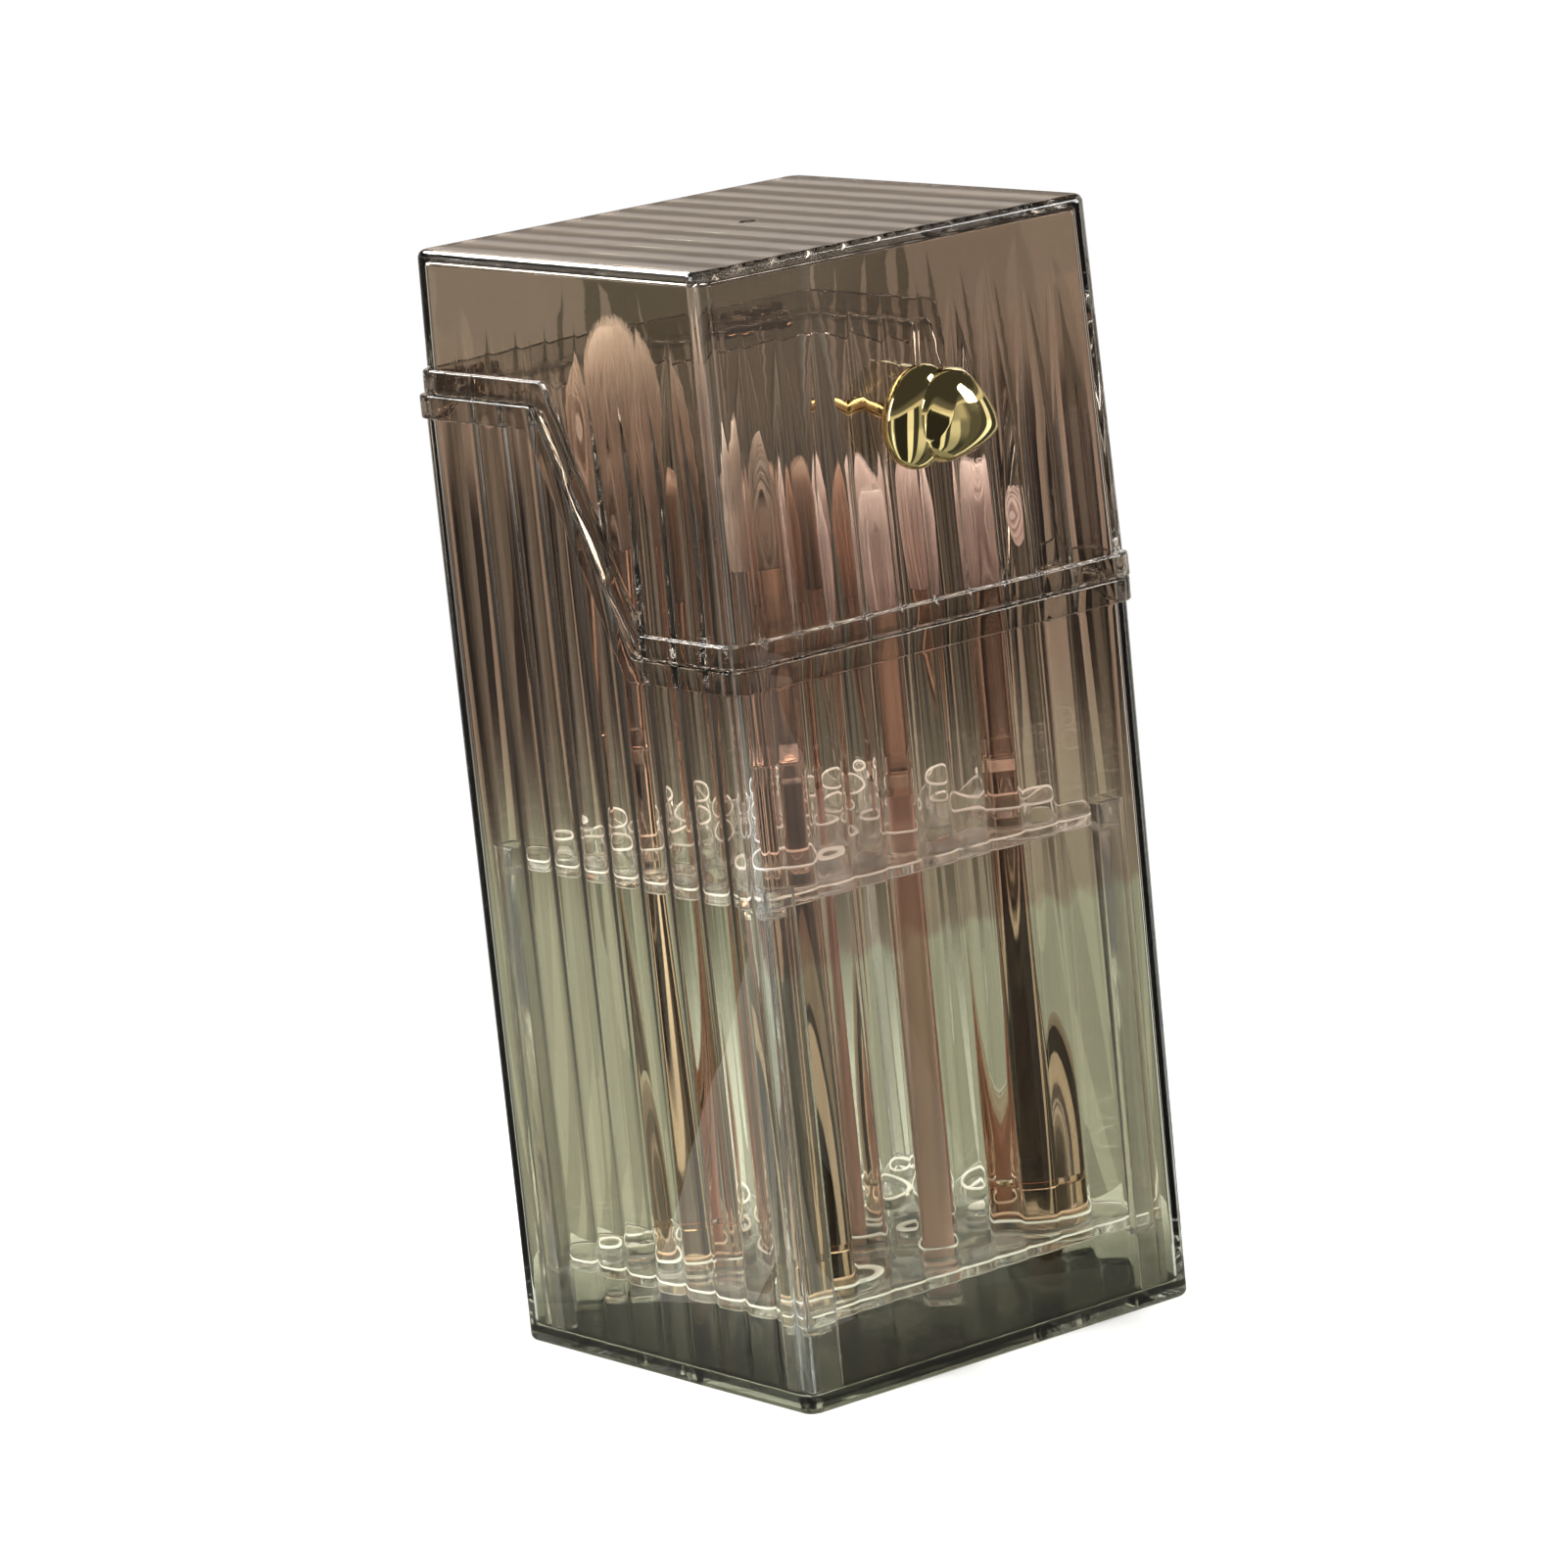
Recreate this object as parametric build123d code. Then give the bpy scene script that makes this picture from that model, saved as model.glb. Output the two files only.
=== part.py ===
from build123d import *

import os
from math import atan2, cos, floor, pi, sin, sqrt, tan

# Makeup brush box: a clear fluted case with a stepped flip-top lid on two rear hinges, a gold knob,
# and a lift-out rack of two pierced trays on corner posts that keeps nine brushes upright.
# Millimetres. +X is right along the front, +Y is to the rear and +Z is up. The origin is the centre
# of the flat underside. At rest the lid is shut and the brushes stand in the rack.

os.makedirs("parts", exist_ok=True)

# Box: outer sizes, measured over the walls at the split
box_width = 100.0
box_depth = 95.8
box_height = 225.0
case_draft = 0.5          # each wall leans in by this much from the rear split down to the base
lid_draft = 1.2           # each wall leans in by this much from the front split up to the top
wall = 2.4
floor_thickness = 3.0
top_thickness = 2.4
corner_radius = 3.5
inner_corner_radius = 1.6
base_edge_radius = 1.4
top_edge_radius = 1.6

# Split between case and lid: low round the front, a slope on each side, high at the rear
split_front = 148.4
split_rear = 196.3
split_slope_front_y = -16.3
split_slope_rear_y = 8.4
lid_gap = 0.2             # between the two rims with the lid shut
rim_height = 4.8          # of each rim, square to the split
rim_out = 1.0             # each rim stands out from the walls by this much
rim_corner_radius = 2.0

# Flutes: shallow ribs down the inside of the walls, and front to back under the lid's top
flute_pitch_front = 8.65
flute_pitch_side = 9.7
flute_corner_margin = 5.5      # plain wall kept between the last flute and the outer face
flute_depth = 0.8
flute_overlap = 1.04           # chord of a rib at full depth, as a share of the pitch
flute_depth_at_floor = 0.25
flute_overrun = 6.0       # each flute's cutting bar runs on past both ends of the wall
lid_flutes_end = 201.0         # height where the lid's flutes run out
top_rib_depth = 0.45

# Hinges
hinge_offset_x = 36.0
hinge_length = 15.0
knuckle_count = 3
knuckle_radius = 2.6
knuckle_end_gap = 0.2
knuckle_rim_gap = 0.3
pin_radius = 1.0
pin_running_gap = 0.05
pin_head_radius = 1.7
pin_head_length = 0.8

# Knob on the lid's front
knob_x = 1.1
knob_z = 189.4
knob_tilt = 21.0          # the groove leans this many degrees to the right of upright
knob_lobe_long = 10.3
knob_lobe_wide = 7.8
knob_lobe_deep = 5.9
knob_lobe_offset = 5.2
knob_neck_radius = 4.0
knob_neck_length = 2.2
knob_seat_gap = 0.1
stud_radius = 1.5
stud_inside = 24.5        # length of stud past the lid's inner face
stud_in_knob = 5.0
stud_chamfer = 0.375
stud_hole_gap = 0.15
knob_pad_radius = 5.5
knob_pad_height = 0.5
knob_pad_sink = 1.2       # how far the pad reaches into the lid's wall
nut_across_flats = 5.5
nut_height = 2.4
washer_radius = 3.6
washer_thickness = 0.6

# Rack: two trays on four angle posts
rack_side_gap = 1.6       # from the case's inner wall at the floor to the rack
lower_tray_top = 18.4
upper_tray_top = 101.8
tray_thickness = 2.4
tray_edge_radius = 2.0
post_leg = 7.0
post_thickness = 1.6
post_top_above_tray = 2.0
post_tray_gap = 0.05
post_ledge = 4.5
post_ledge_thickness = 1.6

# Holes through both trays: wide ones take a fat handle, slim ones a thin handle
wide_hole_radius = 9.2
slim_hole_radius = 4.4
collar_wall = 1.2
upper_collar_height = 3.8
lower_collar_height = 2.0
cup_depth = 10.4          # of the closed cup under each slim hole, from the lower tray's top
cup_floor = 1.2
hole_pitch_y = 18.0
wide_column_x = 28.0
slim_column_x = 17.0
rear_wide_x = 14.0
rear_slim_x = 33.0
rear_row_y = 28.0

# Brushes
fat_end_radius = 8.3
fat_end_height = 24.0     # from the tip to the ring where the end piece meets the handle
fat_tip_radius = 0.7
ring_groove_width = 0.6
ring_groove_depth = 0.5
cone_height = 9.5         # of the straight cone above the tip
cone_share = 0.75         # of the end's full radius, where the cone turns into the barrel
barrel_height = 18.5      # where the end reaches its full radius
handle_full_share = 0.06  # of the handle's length that keeps its full radius
handle_neck_share = 0.84  # of the handle's length where the neck begins
spigot_radius = 3.0
spigot_length = 6.0
spigot_end_gap = 0.5
slim_handle_radius = 2.4
slim_foot_height = 2.0
slim_foot_share = 0.6     # of the slim handle's radius, at the flat of its foot
tip_seat_gap = 0.3
handle_neck_radius = 3.0
slim_neck_radius = 2.3
ferrule_wall = 0.4
ferrule_glue_gap = 0.02
ferrule_bead = 0.35
bead_width = 1.2
tenon_length = 9.0
backing_thickness = 2.0
strand_fill = 0.66        # a hair's width as a share of its room at the belly and the base
strand_tip_fill = 0.46
strand_sink = 0.8
bristle_edge_gap = 0.5    # from the outermost hairs to the ferrule's inside

# Worked out from the sizes above
half_width = box_width / 2
half_depth = box_depth / 2
slope_angle = atan2(split_rear - split_front, split_slope_rear_y - split_slope_front_y)
hinge_y = half_depth + rim_out + knuckle_rim_gap + knuckle_radius
hinge_z = split_rear
floor_top = floor_thickness
rack_half_x = half_width - wall - rack_side_gap - case_draft
rack_half_y = half_depth - wall - rack_side_gap - case_draft
far = 4 * box_height      # longer than anything in the box


def rounded_block(half_x, half_y, radius, z_low, z_high, half_x_high=None, half_y_high=None):
    """An upright block with rounded corners whose walls may lean from the lower to the upper outline."""
    upper_x = half_x if half_x_high is None else half_x_high
    upper_y = half_y if half_y_high is None else half_y_high
    low = Pos(0, 0, z_low) * RectangleRounded(2 * half_x, 2 * half_y, radius)
    high = Pos(0, 0, z_high) * RectangleRounded(2 * upper_x, 2 * upper_y, radius)
    return loft([low, high], ruled=True)


def split_outline(offset):
    """The split seen from the side, as (y, z) points from front to rear, moved square to itself."""
    miter = offset * tan(slope_angle / 2)
    return [
        (-far, split_front + offset),
        (split_slope_front_y - miter, split_front + offset),
        (split_slope_rear_y - miter, split_rear + offset),
        (far, split_rear + offset),
    ]


def below_split(offset):
    """Everything below the split, moved square to itself by offset."""
    points = split_outline(offset)
    upper = FilletPolyline(*points, radius=rim_corner_radius)
    lower = Polyline(points[-1], (far, -far), (-far, -far), points[0])
    return extrude(Plane.YZ * make_face(upper + lower), amount=far, both=True)


def upright(radius, height):
    """A cylinder that stands on its own origin."""
    return Cylinder(radius, height, align=(Align.CENTER, Align.CENTER, Align.MIN))


def flute_centres(half_span, pitch):
    """Centres of the flutes that fit on a wall, spread evenly about its middle."""
    count = floor((2 * (half_span - flute_corner_margin)) / pitch)
    return [(i - (count - 1) / 2) * pitch for i in range(count)]


def flute_radius(pitch, depth):
    """Radius of a rib whose chord is a little over the pitch, so that ribs meet in a groove at the rim."""
    half_chord = pitch * flute_overlap / 2
    return half_chord ** 2 / (2 * depth) + depth / 2


def bar(start, end, radius):
    """A round bar through two points that runs on past both."""
    a, b = Vector(*start), Vector(*end)
    along = (b - a).normalized()
    plane = Plane(origin=a - along * flute_overrun, z_dir=along)
    return extrude(plane * Circle(radius), amount=(b - a).length + 2 * flute_overrun)


def wall_flutes(half_x_low, half_y_low, half_x_high, half_y_high, z_low, z_high, deep_low, deep_high):
    """Round bars sunk in all four inner walls. Each shows as a rib that stands in from the wall."""
    bars = []
    radius_front = flute_radius(flute_pitch_front, flute_depth)
    radius_side = flute_radius(flute_pitch_side, flute_depth)
    for x in flute_centres(half_width, flute_pitch_front):
        for side in (-1, 1):
            low = (x, side * (half_y_low + radius_front - deep_low), z_low)
            high = (x, side * (half_y_high + radius_front - deep_high), z_high)
            bars.append(bar(low, high, radius_front))
    for y in flute_centres(half_depth, flute_pitch_side):
        for side in (-1, 1):
            low = (side * (half_x_low + radius_side - deep_low), y, z_low)
            high = (side * (half_x_high + radius_side - deep_high), y, z_high)
            bars.append(bar(low, high, radius_side))
    return bars


def case_wall_half(half, z):
    return half - case_draft * (split_rear - z) / split_rear


def lid_wall_half(half, z):
    return half - lid_draft * (z - split_front) / (box_height - split_front)


def rim(low_offset, high_offset):
    """The raised band that follows the split, between two offsets from it."""
    block = rounded_block(half_width + rim_out, half_depth + rim_out, corner_radius + rim_out,
                          split_front - 3 * rim_height, split_rear + 3 * rim_height)
    return (block & below_split(high_offset)) - below_split(low_offset)


def knuckle(index, side):
    """One hinge knuckle and the web that joins it to its rim. Odd ones belong to the lid."""
    length = hinge_length / knuckle_count
    centre_x = side * hinge_offset_x + (index - (knuckle_count - 1) / 2) * length
    clear_length = length - knuckle_end_gap
    barrel = Pos(centre_x, hinge_y, hinge_z) * Rot(0, 90, 0) * Cylinder(knuckle_radius, clear_length)
    up = 1 if index % 2 else -1
    web_height = knuckle_radius - lid_gap
    web_depth = hinge_y - half_depth + rim_out
    web_z = hinge_z + up * (knuckle_radius - web_height / 2)
    web = Pos(centre_x, hinge_y - web_depth / 2, web_z) * Box(clear_length, web_depth, web_height)
    return barrel + web


def knuckle_bore(side, radius):
    return Pos(side * hinge_offset_x, hinge_y, hinge_z) * Rot(0, 90, 0) * Cylinder(radius, hinge_length * 2)


def make_case():
    low_x, low_y = case_wall_half(half_width, 0), case_wall_half(half_depth, 0)
    outer = rounded_block(low_x, low_y, corner_radius, 0, split_rear, half_width, half_depth)
    outer = fillet(outer.edges().group_by(Axis.Z)[0], base_edge_radius)
    in_x, in_y = half_width - wall, half_depth - wall
    floor_x, floor_y = in_x - case_draft, in_y - case_draft
    z_high = split_rear + rim_height
    cavity = rounded_block(floor_x, floor_y, inner_corner_radius, floor_top, z_high, in_x, in_y)
    cavity -= wall_flutes(floor_x, floor_y, in_x, in_y, floor_top, z_high, flute_depth_at_floor, flute_depth)
    body = (outer & below_split(-lid_gap / 2)) + rim(-rim_height, -lid_gap / 2)
    body -= cavity
    for side in (-1, 1):
        for index in range(0, knuckle_count, 2):
            body += knuckle(index, side)
        body -= knuckle_bore(side, pin_radius)
    return body


def lid_inner_face_y(z):
    return -(lid_wall_half(half_depth, z) - wall)


def make_lid():
    top_x, top_y = lid_wall_half(half_width, box_height), lid_wall_half(half_depth, box_height)
    z_low = split_front - rim_height
    low_x, low_y = lid_wall_half(half_width, z_low), lid_wall_half(half_depth, z_low)
    outer = rounded_block(low_x, low_y, corner_radius, z_low, box_height, top_x, top_y)
    outer = fillet(outer.edges().group_by(Axis.Z)[-1], top_edge_radius)
    ceiling = box_height - top_thickness
    in_low_x, in_low_y = low_x - wall, low_y - wall
    in_top_x, in_top_y = (lid_wall_half(h, ceiling) - wall for h in (half_width, half_depth))
    cavity = rounded_block(in_low_x, in_low_y, inner_corner_radius, z_low, ceiling, in_top_x, in_top_y)
    depth_per_mm = flute_depth / (lid_flutes_end - split_front)
    deep_low = depth_per_mm * (lid_flutes_end - z_low)
    deep_high = depth_per_mm * (lid_flutes_end - ceiling)
    cavity -= wall_flutes(in_low_x, in_low_y, in_top_x, in_top_y, z_low, ceiling, deep_low, deep_high)
    rib_radius = flute_radius(flute_pitch_front, top_rib_depth)
    rib_z = ceiling + rib_radius - top_rib_depth
    cavity -= [bar((x, -half_depth, rib_z), (x, half_depth, rib_z), rib_radius)
               for x in flute_centres(half_width, flute_pitch_front)]
    body = (outer - below_split(lid_gap / 2)) + rim(lid_gap / 2, rim_height)
    body -= cavity
    pad_y = lid_inner_face_y(knob_z)
    pad = Pos(knob_x, pad_y + (knob_pad_height - knob_pad_sink) / 2, knob_z) * Rot(90, 0, 0)
    body += pad * Cylinder(knob_pad_radius, knob_pad_height + knob_pad_sink)
    hole = Pos(knob_x, pad_y, knob_z) * Rot(90, 0, 0) * Cylinder(stud_radius + stud_hole_gap, 4 * wall)
    body -= hole
    for side in (-1, 1):
        for index in range(1, knuckle_count, 2):
            body += knuckle(index, side)
        body -= knuckle_bore(side, pin_radius + pin_running_gap)
    return body


def make_hinge_pin(side):
    """A plain pin pressed into the case's knuckles, with a low head at its outer end."""
    shank = Pos(side * hinge_offset_x, hinge_y, hinge_z) * Rot(0, 90, 0) * Cylinder(pin_radius, hinge_length)
    head_x = side * (hinge_offset_x + hinge_length / 2 + pin_head_length / 2)
    head = Pos(head_x, hinge_y, hinge_z) * Rot(0, 90, 0) * Cylinder(pin_head_radius, pin_head_length)
    return shank + head


def knob_plane():
    """At the lid's outer face behind the knob, looking out along -Y, with the groove upright."""
    wall_y = -lid_wall_half(half_depth, knob_z)
    return Location((knob_x, wall_y - knob_seat_gap, knob_z), (0, knob_tilt, 0))


def make_knob():
    """Two plump lobes side by side that meet in a V groove, on a short round neck."""
    lobe = scale(Sphere(1), by=(knob_lobe_wide, knob_lobe_deep, knob_lobe_long))
    centre_y = -(knob_neck_length + knob_lobe_deep)
    half_space = Pos(-far / 2, 0, 0) * Box(far, far, far)
    left_lobe = (Pos(-knob_lobe_offset, centre_y, 0) * lobe) & half_space
    neck_length = knob_neck_length + knob_lobe_deep / 2
    neck = Pos(0, -neck_length / 2, 0) * Rot(90, 0, 0) * Cylinder(knob_neck_radius, neck_length)
    socket = Pos(0, -stud_in_knob / 2, 0) * Rot(90, 0, 0) * Cylinder(stud_radius, stud_in_knob)
    return knob_plane() * (left_lobe + mirror(left_lobe, Plane.YZ) + neck - socket)


def stud_span():
    """Where the stud starts inside the knob and ends inside the lid."""
    wall_y = -lid_wall_half(half_depth, knob_z)
    return wall_y - knob_seat_gap - stud_in_knob, lid_inner_face_y(knob_z) + stud_inside


def make_knob_stud():
    """A plain rod from inside the knob to well inside the lid, with a chamfer at its inner end."""
    start, end = stud_span()
    rod = Pos(knob_x, (start + end) / 2, knob_z) * Rot(90, 0, 0) * Cylinder(stud_radius, end - start)
    return chamfer(rod.edges().group_by(Axis.Y)[-1], stud_chamfer)


def washer_face_y():
    return lid_inner_face_y(knob_z) + knob_pad_height


def make_knob_washer():
    disc = Cylinder(washer_radius, washer_thickness) - Cylinder(stud_radius + stud_hole_gap, 2 * washer_thickness)
    return Pos(knob_x, washer_face_y() + washer_thickness / 2, knob_z) * Rot(90, 0, 0) * disc


def make_knob_nut():
    blank = extrude(RegularPolygon(nut_across_flats / 2, 6, major_radius=False), nut_height / 2, both=True)
    blank -= Cylinder(stud_radius, 2 * nut_height)
    return Pos(knob_x, washer_face_y() + washer_thickness + nut_height / 2, knob_z) * Rot(90, 0, 0) * blank


# Hole centres, by row from the front
wide_holes = {
    "front_left": (-wide_column_x, -1.5 * hole_pitch_y),
    "front_right": (wide_column_x, -1.5 * hole_pitch_y),
    "middle_left": (-wide_column_x, 0.5 * hole_pitch_y),
    "middle": (0.0, 0.5 * hole_pitch_y),
    "middle_right": (wide_column_x, 0.5 * hole_pitch_y),
    "rear_left": (-rear_wide_x, rear_row_y),
    "rear_right": (rear_wide_x, rear_row_y),
}
slim_holes = {
    "slim_front": (0.0, -1.5 * hole_pitch_y),
    "slim_left": (-slim_column_x, -0.5 * hole_pitch_y),
    "slim_middle": (0.0, -0.5 * hole_pitch_y),
    "slim_right": (slim_column_x, -0.5 * hole_pitch_y),
    "slim_rear_left": (-rear_slim_x, rear_row_y),
    "slim_rear_right": (rear_slim_x, rear_row_y),
}


def make_tray(top, collar_height, closed_cups):
    """A flat plate inside the posts, with a raised collar round each hole."""
    half_x = rack_half_x - post_thickness - post_tray_gap
    half_y = rack_half_y - post_thickness - post_tray_gap
    under = top - tray_thickness
    solid = rounded_block(half_x, half_y, tray_edge_radius, under, top)
    collars = []
    bores = []
    for radius, holes in ((wide_hole_radius, wide_holes), (slim_hole_radius, slim_holes)):
        closed = closed_cups and holes is slim_holes
        low = top - cup_depth if closed else under
        bore_low = low + cup_floor if closed else low - tray_thickness
        bore_high = top + 2 * collar_height
        for x, y in holes.values():
            collars.append(Pos(x, y, low) * upright(radius + collar_wall, top + collar_height - low))
            bores.append(Pos(x, y, bore_low) * upright(radius, bore_high - bore_low))
    return (solid + collars) - bores


def make_post(side_x, side_y):
    """An angle post from the case floor to just above the upper tray, with a ledge under each tray."""
    height = upper_tray_top + post_top_above_tray - floor_top
    corner = (Align.MAX, Align.MAX, Align.MIN)
    solid = Box(post_leg, post_leg, height, align=corner)
    inner = post_leg - post_thickness
    solid -= Pos(-post_thickness, -post_thickness, 0) * Box(inner, inner, height, align=corner)
    for tray_top in (lower_tray_top, upper_tray_top):
        z = tray_top - tray_thickness - post_ledge_thickness - floor_top
        ledge = Box(post_ledge, post_ledge, post_ledge_thickness, align=corner)
        solid += Pos(-post_thickness, -post_thickness, z) * ledge
    solid = Pos(rack_half_x, rack_half_y, floor_top) * solid
    if side_x < 0:
        solid = mirror(solid, Plane.YZ)
    if side_y < 0:
        solid = mirror(solid, Plane.XZ)
    return solid


def turned(outline, bottom, top):
    """A solid turned about Z from the edges of its outline, which runs from bottom to top."""
    start, end = Vector(*bottom), Vector(*top)
    closing = Polyline((end.X, end.Y), (0, end.Y), (0, start.Y), (start.X, start.Y))
    return revolve(Plane.XZ * make_face(outline + closing), Axis.Z)


def make_fat_handle(fullness, top):
    """From the ring up: full at the bottom, then one long curve in to the neck."""
    body = fat_end_radius * fullness
    ring_top = fat_end_height + ring_groove_width
    reach = top - ring_top
    groove = (body - ring_groove_depth, fat_end_height)
    shoulder = (body, ring_top + handle_full_share * reach)
    neck = (handle_neck_radius, ring_top + handle_neck_share * reach)
    end = (handle_neck_radius, top)
    outline = Polyline(groove, (body - ring_groove_depth, ring_top), (body, ring_top), shoulder)
    outline += Spline(shoulder, neck, tangents=((0, 1), (0, 1)))
    outline += Line(neck, end)
    solid = turned(outline, groove, end)
    solid += Pos(0, 0, top) * upright(handle_neck_radius - ferrule_wall, tenon_length)
    return solid - Pos(0, 0, fat_end_height) * upright(spigot_radius, spigot_length)


def make_fat_end(fullness):
    """The pointed end piece: a cone that swells to a short barrel, with a spigot up into the handle."""
    body = fat_end_radius * fullness
    tip = (fat_tip_radius, 0)
    cone_top = (body * cone_share, cone_height)
    barrel = (body, barrel_height)
    groove_low = fat_end_height - ring_groove_width
    end = (body - ring_groove_depth, fat_end_height)
    outline = Line(tip, cone_top)
    outline += Spline(cone_top, barrel, tangents=((cone_top[0] - tip[0], cone_height), (0, 1)))
    outline += Polyline(barrel, (body, groove_low), (body - ring_groove_depth, groove_low), end)
    solid = turned(outline, tip, end)
    return solid + Pos(0, 0, fat_end_height) * upright(spigot_radius, spigot_length - spigot_end_gap)


def make_slim_handle(top):
    """A thin stick with a tapered foot, and a tenon for its ferrule."""
    foot = (slim_handle_radius * slim_foot_share, 0)
    end = (slim_neck_radius, top)
    outline = Polyline(foot, (slim_handle_radius, slim_foot_height), (slim_handle_radius, top / 2), end)
    return turned(outline, foot, end) + Pos(0, 0, top) * upright(slim_neck_radius - ferrule_wall, tenon_length)


def oval(half_x, half_y, z):
    shape = Circle(half_x) if abs(half_x - half_y) < 1e-9 else Ellipse(half_x, half_y)
    return Pos(0, 0, z) * shape


def make_ferrule(neck_radius, half_x, half_y, bottom, top):
    """A thin metal tube, round on the handle and opening to the outline of the bristles."""
    straight = bottom + tenon_length
    bore_radius = neck_radius - ferrule_wall + ferrule_glue_gap
    tube = Pos(0, 0, bottom) * upright(neck_radius, tenon_length)
    tube += loft([oval(neck_radius, neck_radius, straight), oval(half_x, half_y, top)], ruled=True)
    tube += Pos(0, 0, bottom + tenon_length / 2) * Cylinder(neck_radius + ferrule_bead, bead_width)
    bore = Pos(0, 0, bottom) * upright(bore_radius, tenon_length)
    mouth = oval(half_x - ferrule_wall, half_y - ferrule_wall, top)
    bore += loft([oval(bore_radius, bore_radius, straight), mouth], ruled=True)
    return tube - bore


def make_bristles(half_x, half_y, bottom, height, count, belly_x, belly_y, tip_share, dome, belly_at):
    """Hairs set in a sunflower pattern. They swell to the belly and draw in to a domed or flat crown.

    At any height all hairs are one pattern, only wider or narrower, so none crosses another.
    """
    backing_x, backing_y = (half - 2 * ferrule_wall - ferrule_glue_gap for half in (half_x, half_y))
    room = sqrt(pi / count)
    edge = 1 + strand_fill * room / 2
    base_x, base_y = ((half - ferrule_wall - bristle_edge_gap) / edge for half in (half_x, half_y))
    belly_height = belly_at * height
    strands = []
    for i in range(count):
        share = sqrt((i + 0.5) / count)
        angle = i * pi * (3 - sqrt(5))
        crown = height * (1 - dome * share ** 2)
        draw_in = 1 - (1 - tip_share) * (crown - belly_height) / (height - belly_height)
        levels = [
            (-strand_sink, base_x, base_y, strand_fill),
            (belly_height, belly_x, belly_y, strand_fill),
            (crown, belly_x * draw_in, belly_y * draw_in, strand_tip_fill),
        ]
        sections = []
        for z, reach_x, reach_y, fill in levels:
            place = Pos(reach_x * share * cos(angle), reach_y * share * sin(angle), bottom + z)
            sections.append(place * Rectangle(fill * room * reach_x, fill * room * reach_y))
        strands.append(loft(sections, ruled=True))
    backing = extrude(oval(backing_x, backing_y, bottom - backing_thickness), backing_thickness)
    return backing + strands


# Each brush: hole, handle, ferrule and bristles. Heights are above the case's underside.
# fullness: of a fat handle against the fullest one, None for a slim handle.
# mouth: half sizes of the ferrule's open end. belly: half sizes of the bristles at their widest.
# tip: their crown's share of the belly. dome: the crown's drop at its edge, as a share of the height.
# belly_at: the belly's height as a share of the whole.
brushes = {
    "powder": dict(hole="middle_left", fullness=0.98, handle_top=120, ferrule_top=165, mouth=(6.6, 6.6),
                   head=47, count=80, belly=(10.4, 10.4), tip=0.74, dome=0.30, belly_at=0.55),
    "highlighter": dict(hole="front_left", fullness=0.82, handle_top=120, ferrule_top=163, mouth=(3.9, 3.9),
                        head=32, count=34, belly=(4.6, 4.6), tip=0.30, dome=0.52, belly_at=0.40),
    "blush": dict(hole="front_right", fullness=1.0, handle_top=110, ferrule_top=148, mouth=(4.6, 4.6),
                  head=28, count=45, belly=(6.4, 6.4), tip=0.76, dome=0.26, belly_at=0.55),
    "foundation": dict(hole="middle", fullness=0.96, handle_top=112, ferrule_top=150, mouth=(6.6, 6.6),
                       head=26, count=56, belly=(8.2, 8.2), tip=0.97, dome=0.06, belly_at=0.5),
    "contour": dict(hole="rear_left", fullness=0.94, handle_top=118, ferrule_top=158, mouth=(5.6, 5.6),
                    head=40, count=50, belly=(8.0, 8.0), tip=0.72, dome=0.30, belly_at=0.55),
    "eyeshadow": dict(hole="slim_front", fullness=None, handle_top=112, ferrule_top=148, mouth=(4.0, 3.2),
                      head=27, count=40, belly=(5.8, 4.2), tip=0.74, dome=0.28, belly_at=0.5),
    "cheek": dict(hole="slim_right", fullness=None, handle_top=112, ferrule_top=148, mouth=(6.4, 3.2),
                  head=29, count=50, belly=(9.2, 4.4), tip=0.88, dome=0.20, belly_at=0.5),
    "blending": dict(hole="slim_middle", fullness=None, handle_top=112, ferrule_top=150, mouth=(3.2, 3.2),
                     head=28, count=30, belly=(4.4, 4.4), tip=0.60, dome=0.36, belly_at=0.5),
    "detail": dict(hole="slim_left", fullness=None, handle_top=118, ferrule_top=157, mouth=(2.8, 2.8),
                   head=28, count=24, belly=(3.6, 3.6), tip=0.40, dome=0.48, belly_at=0.42),
}


def make_brush(spec):
    """The pieces of one brush, standing in its hole."""
    fat = spec["fullness"] is not None
    x, y = (wide_holes if fat else slim_holes)[spec["hole"]]
    seat = floor_top if fat else lower_tray_top - cup_depth + cup_floor
    foot = seat + tip_seat_gap
    neck = handle_neck_radius if fat else slim_neck_radius
    top = spec["handle_top"] - foot
    ferrule_top = spec["ferrule_top"] - foot
    pieces = {}
    if fat:
        pieces["end"] = make_fat_end(spec["fullness"])
        pieces["handle"] = make_fat_handle(spec["fullness"], top)
    else:
        pieces["handle"] = make_slim_handle(top)
    pieces["ferrule"] = make_ferrule(neck, *spec["mouth"], top, ferrule_top)
    pieces["bristles"] = make_bristles(*spec["mouth"], ferrule_top, spec["head"], spec["count"],
                                       *spec["belly"], spec["tip"], spec["dome"], spec["belly_at"])
    return {name: Pos(x, y, foot) * solid for name, solid in pieces.items()}


parts = {
    "case": make_case(),
    "lid": make_lid(),
    "hinge_pin_left": make_hinge_pin(-1),
    "hinge_pin_right": make_hinge_pin(1),
    "knob": make_knob(),
    "knob_stud": make_knob_stud(),
    "knob_washer": make_knob_washer(),
    "knob_nut": make_knob_nut(),
    "rack_upper_tray": make_tray(upper_tray_top, upper_collar_height, closed_cups=False),
    "rack_lower_tray": make_tray(lower_tray_top, lower_collar_height, closed_cups=True),
}
for front_rear, side_y in (("front", -1), ("rear", 1)):
    for left_right, side_x in (("left", -1), ("right", 1)):
        parts[f"rack_post_{front_rear}_{left_right}"] = make_post(side_x, side_y)
for brush, spec in brushes.items():
    for piece, solid in make_brush(spec).items():
        parts[f"{brush}_{piece}"] = solid

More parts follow.
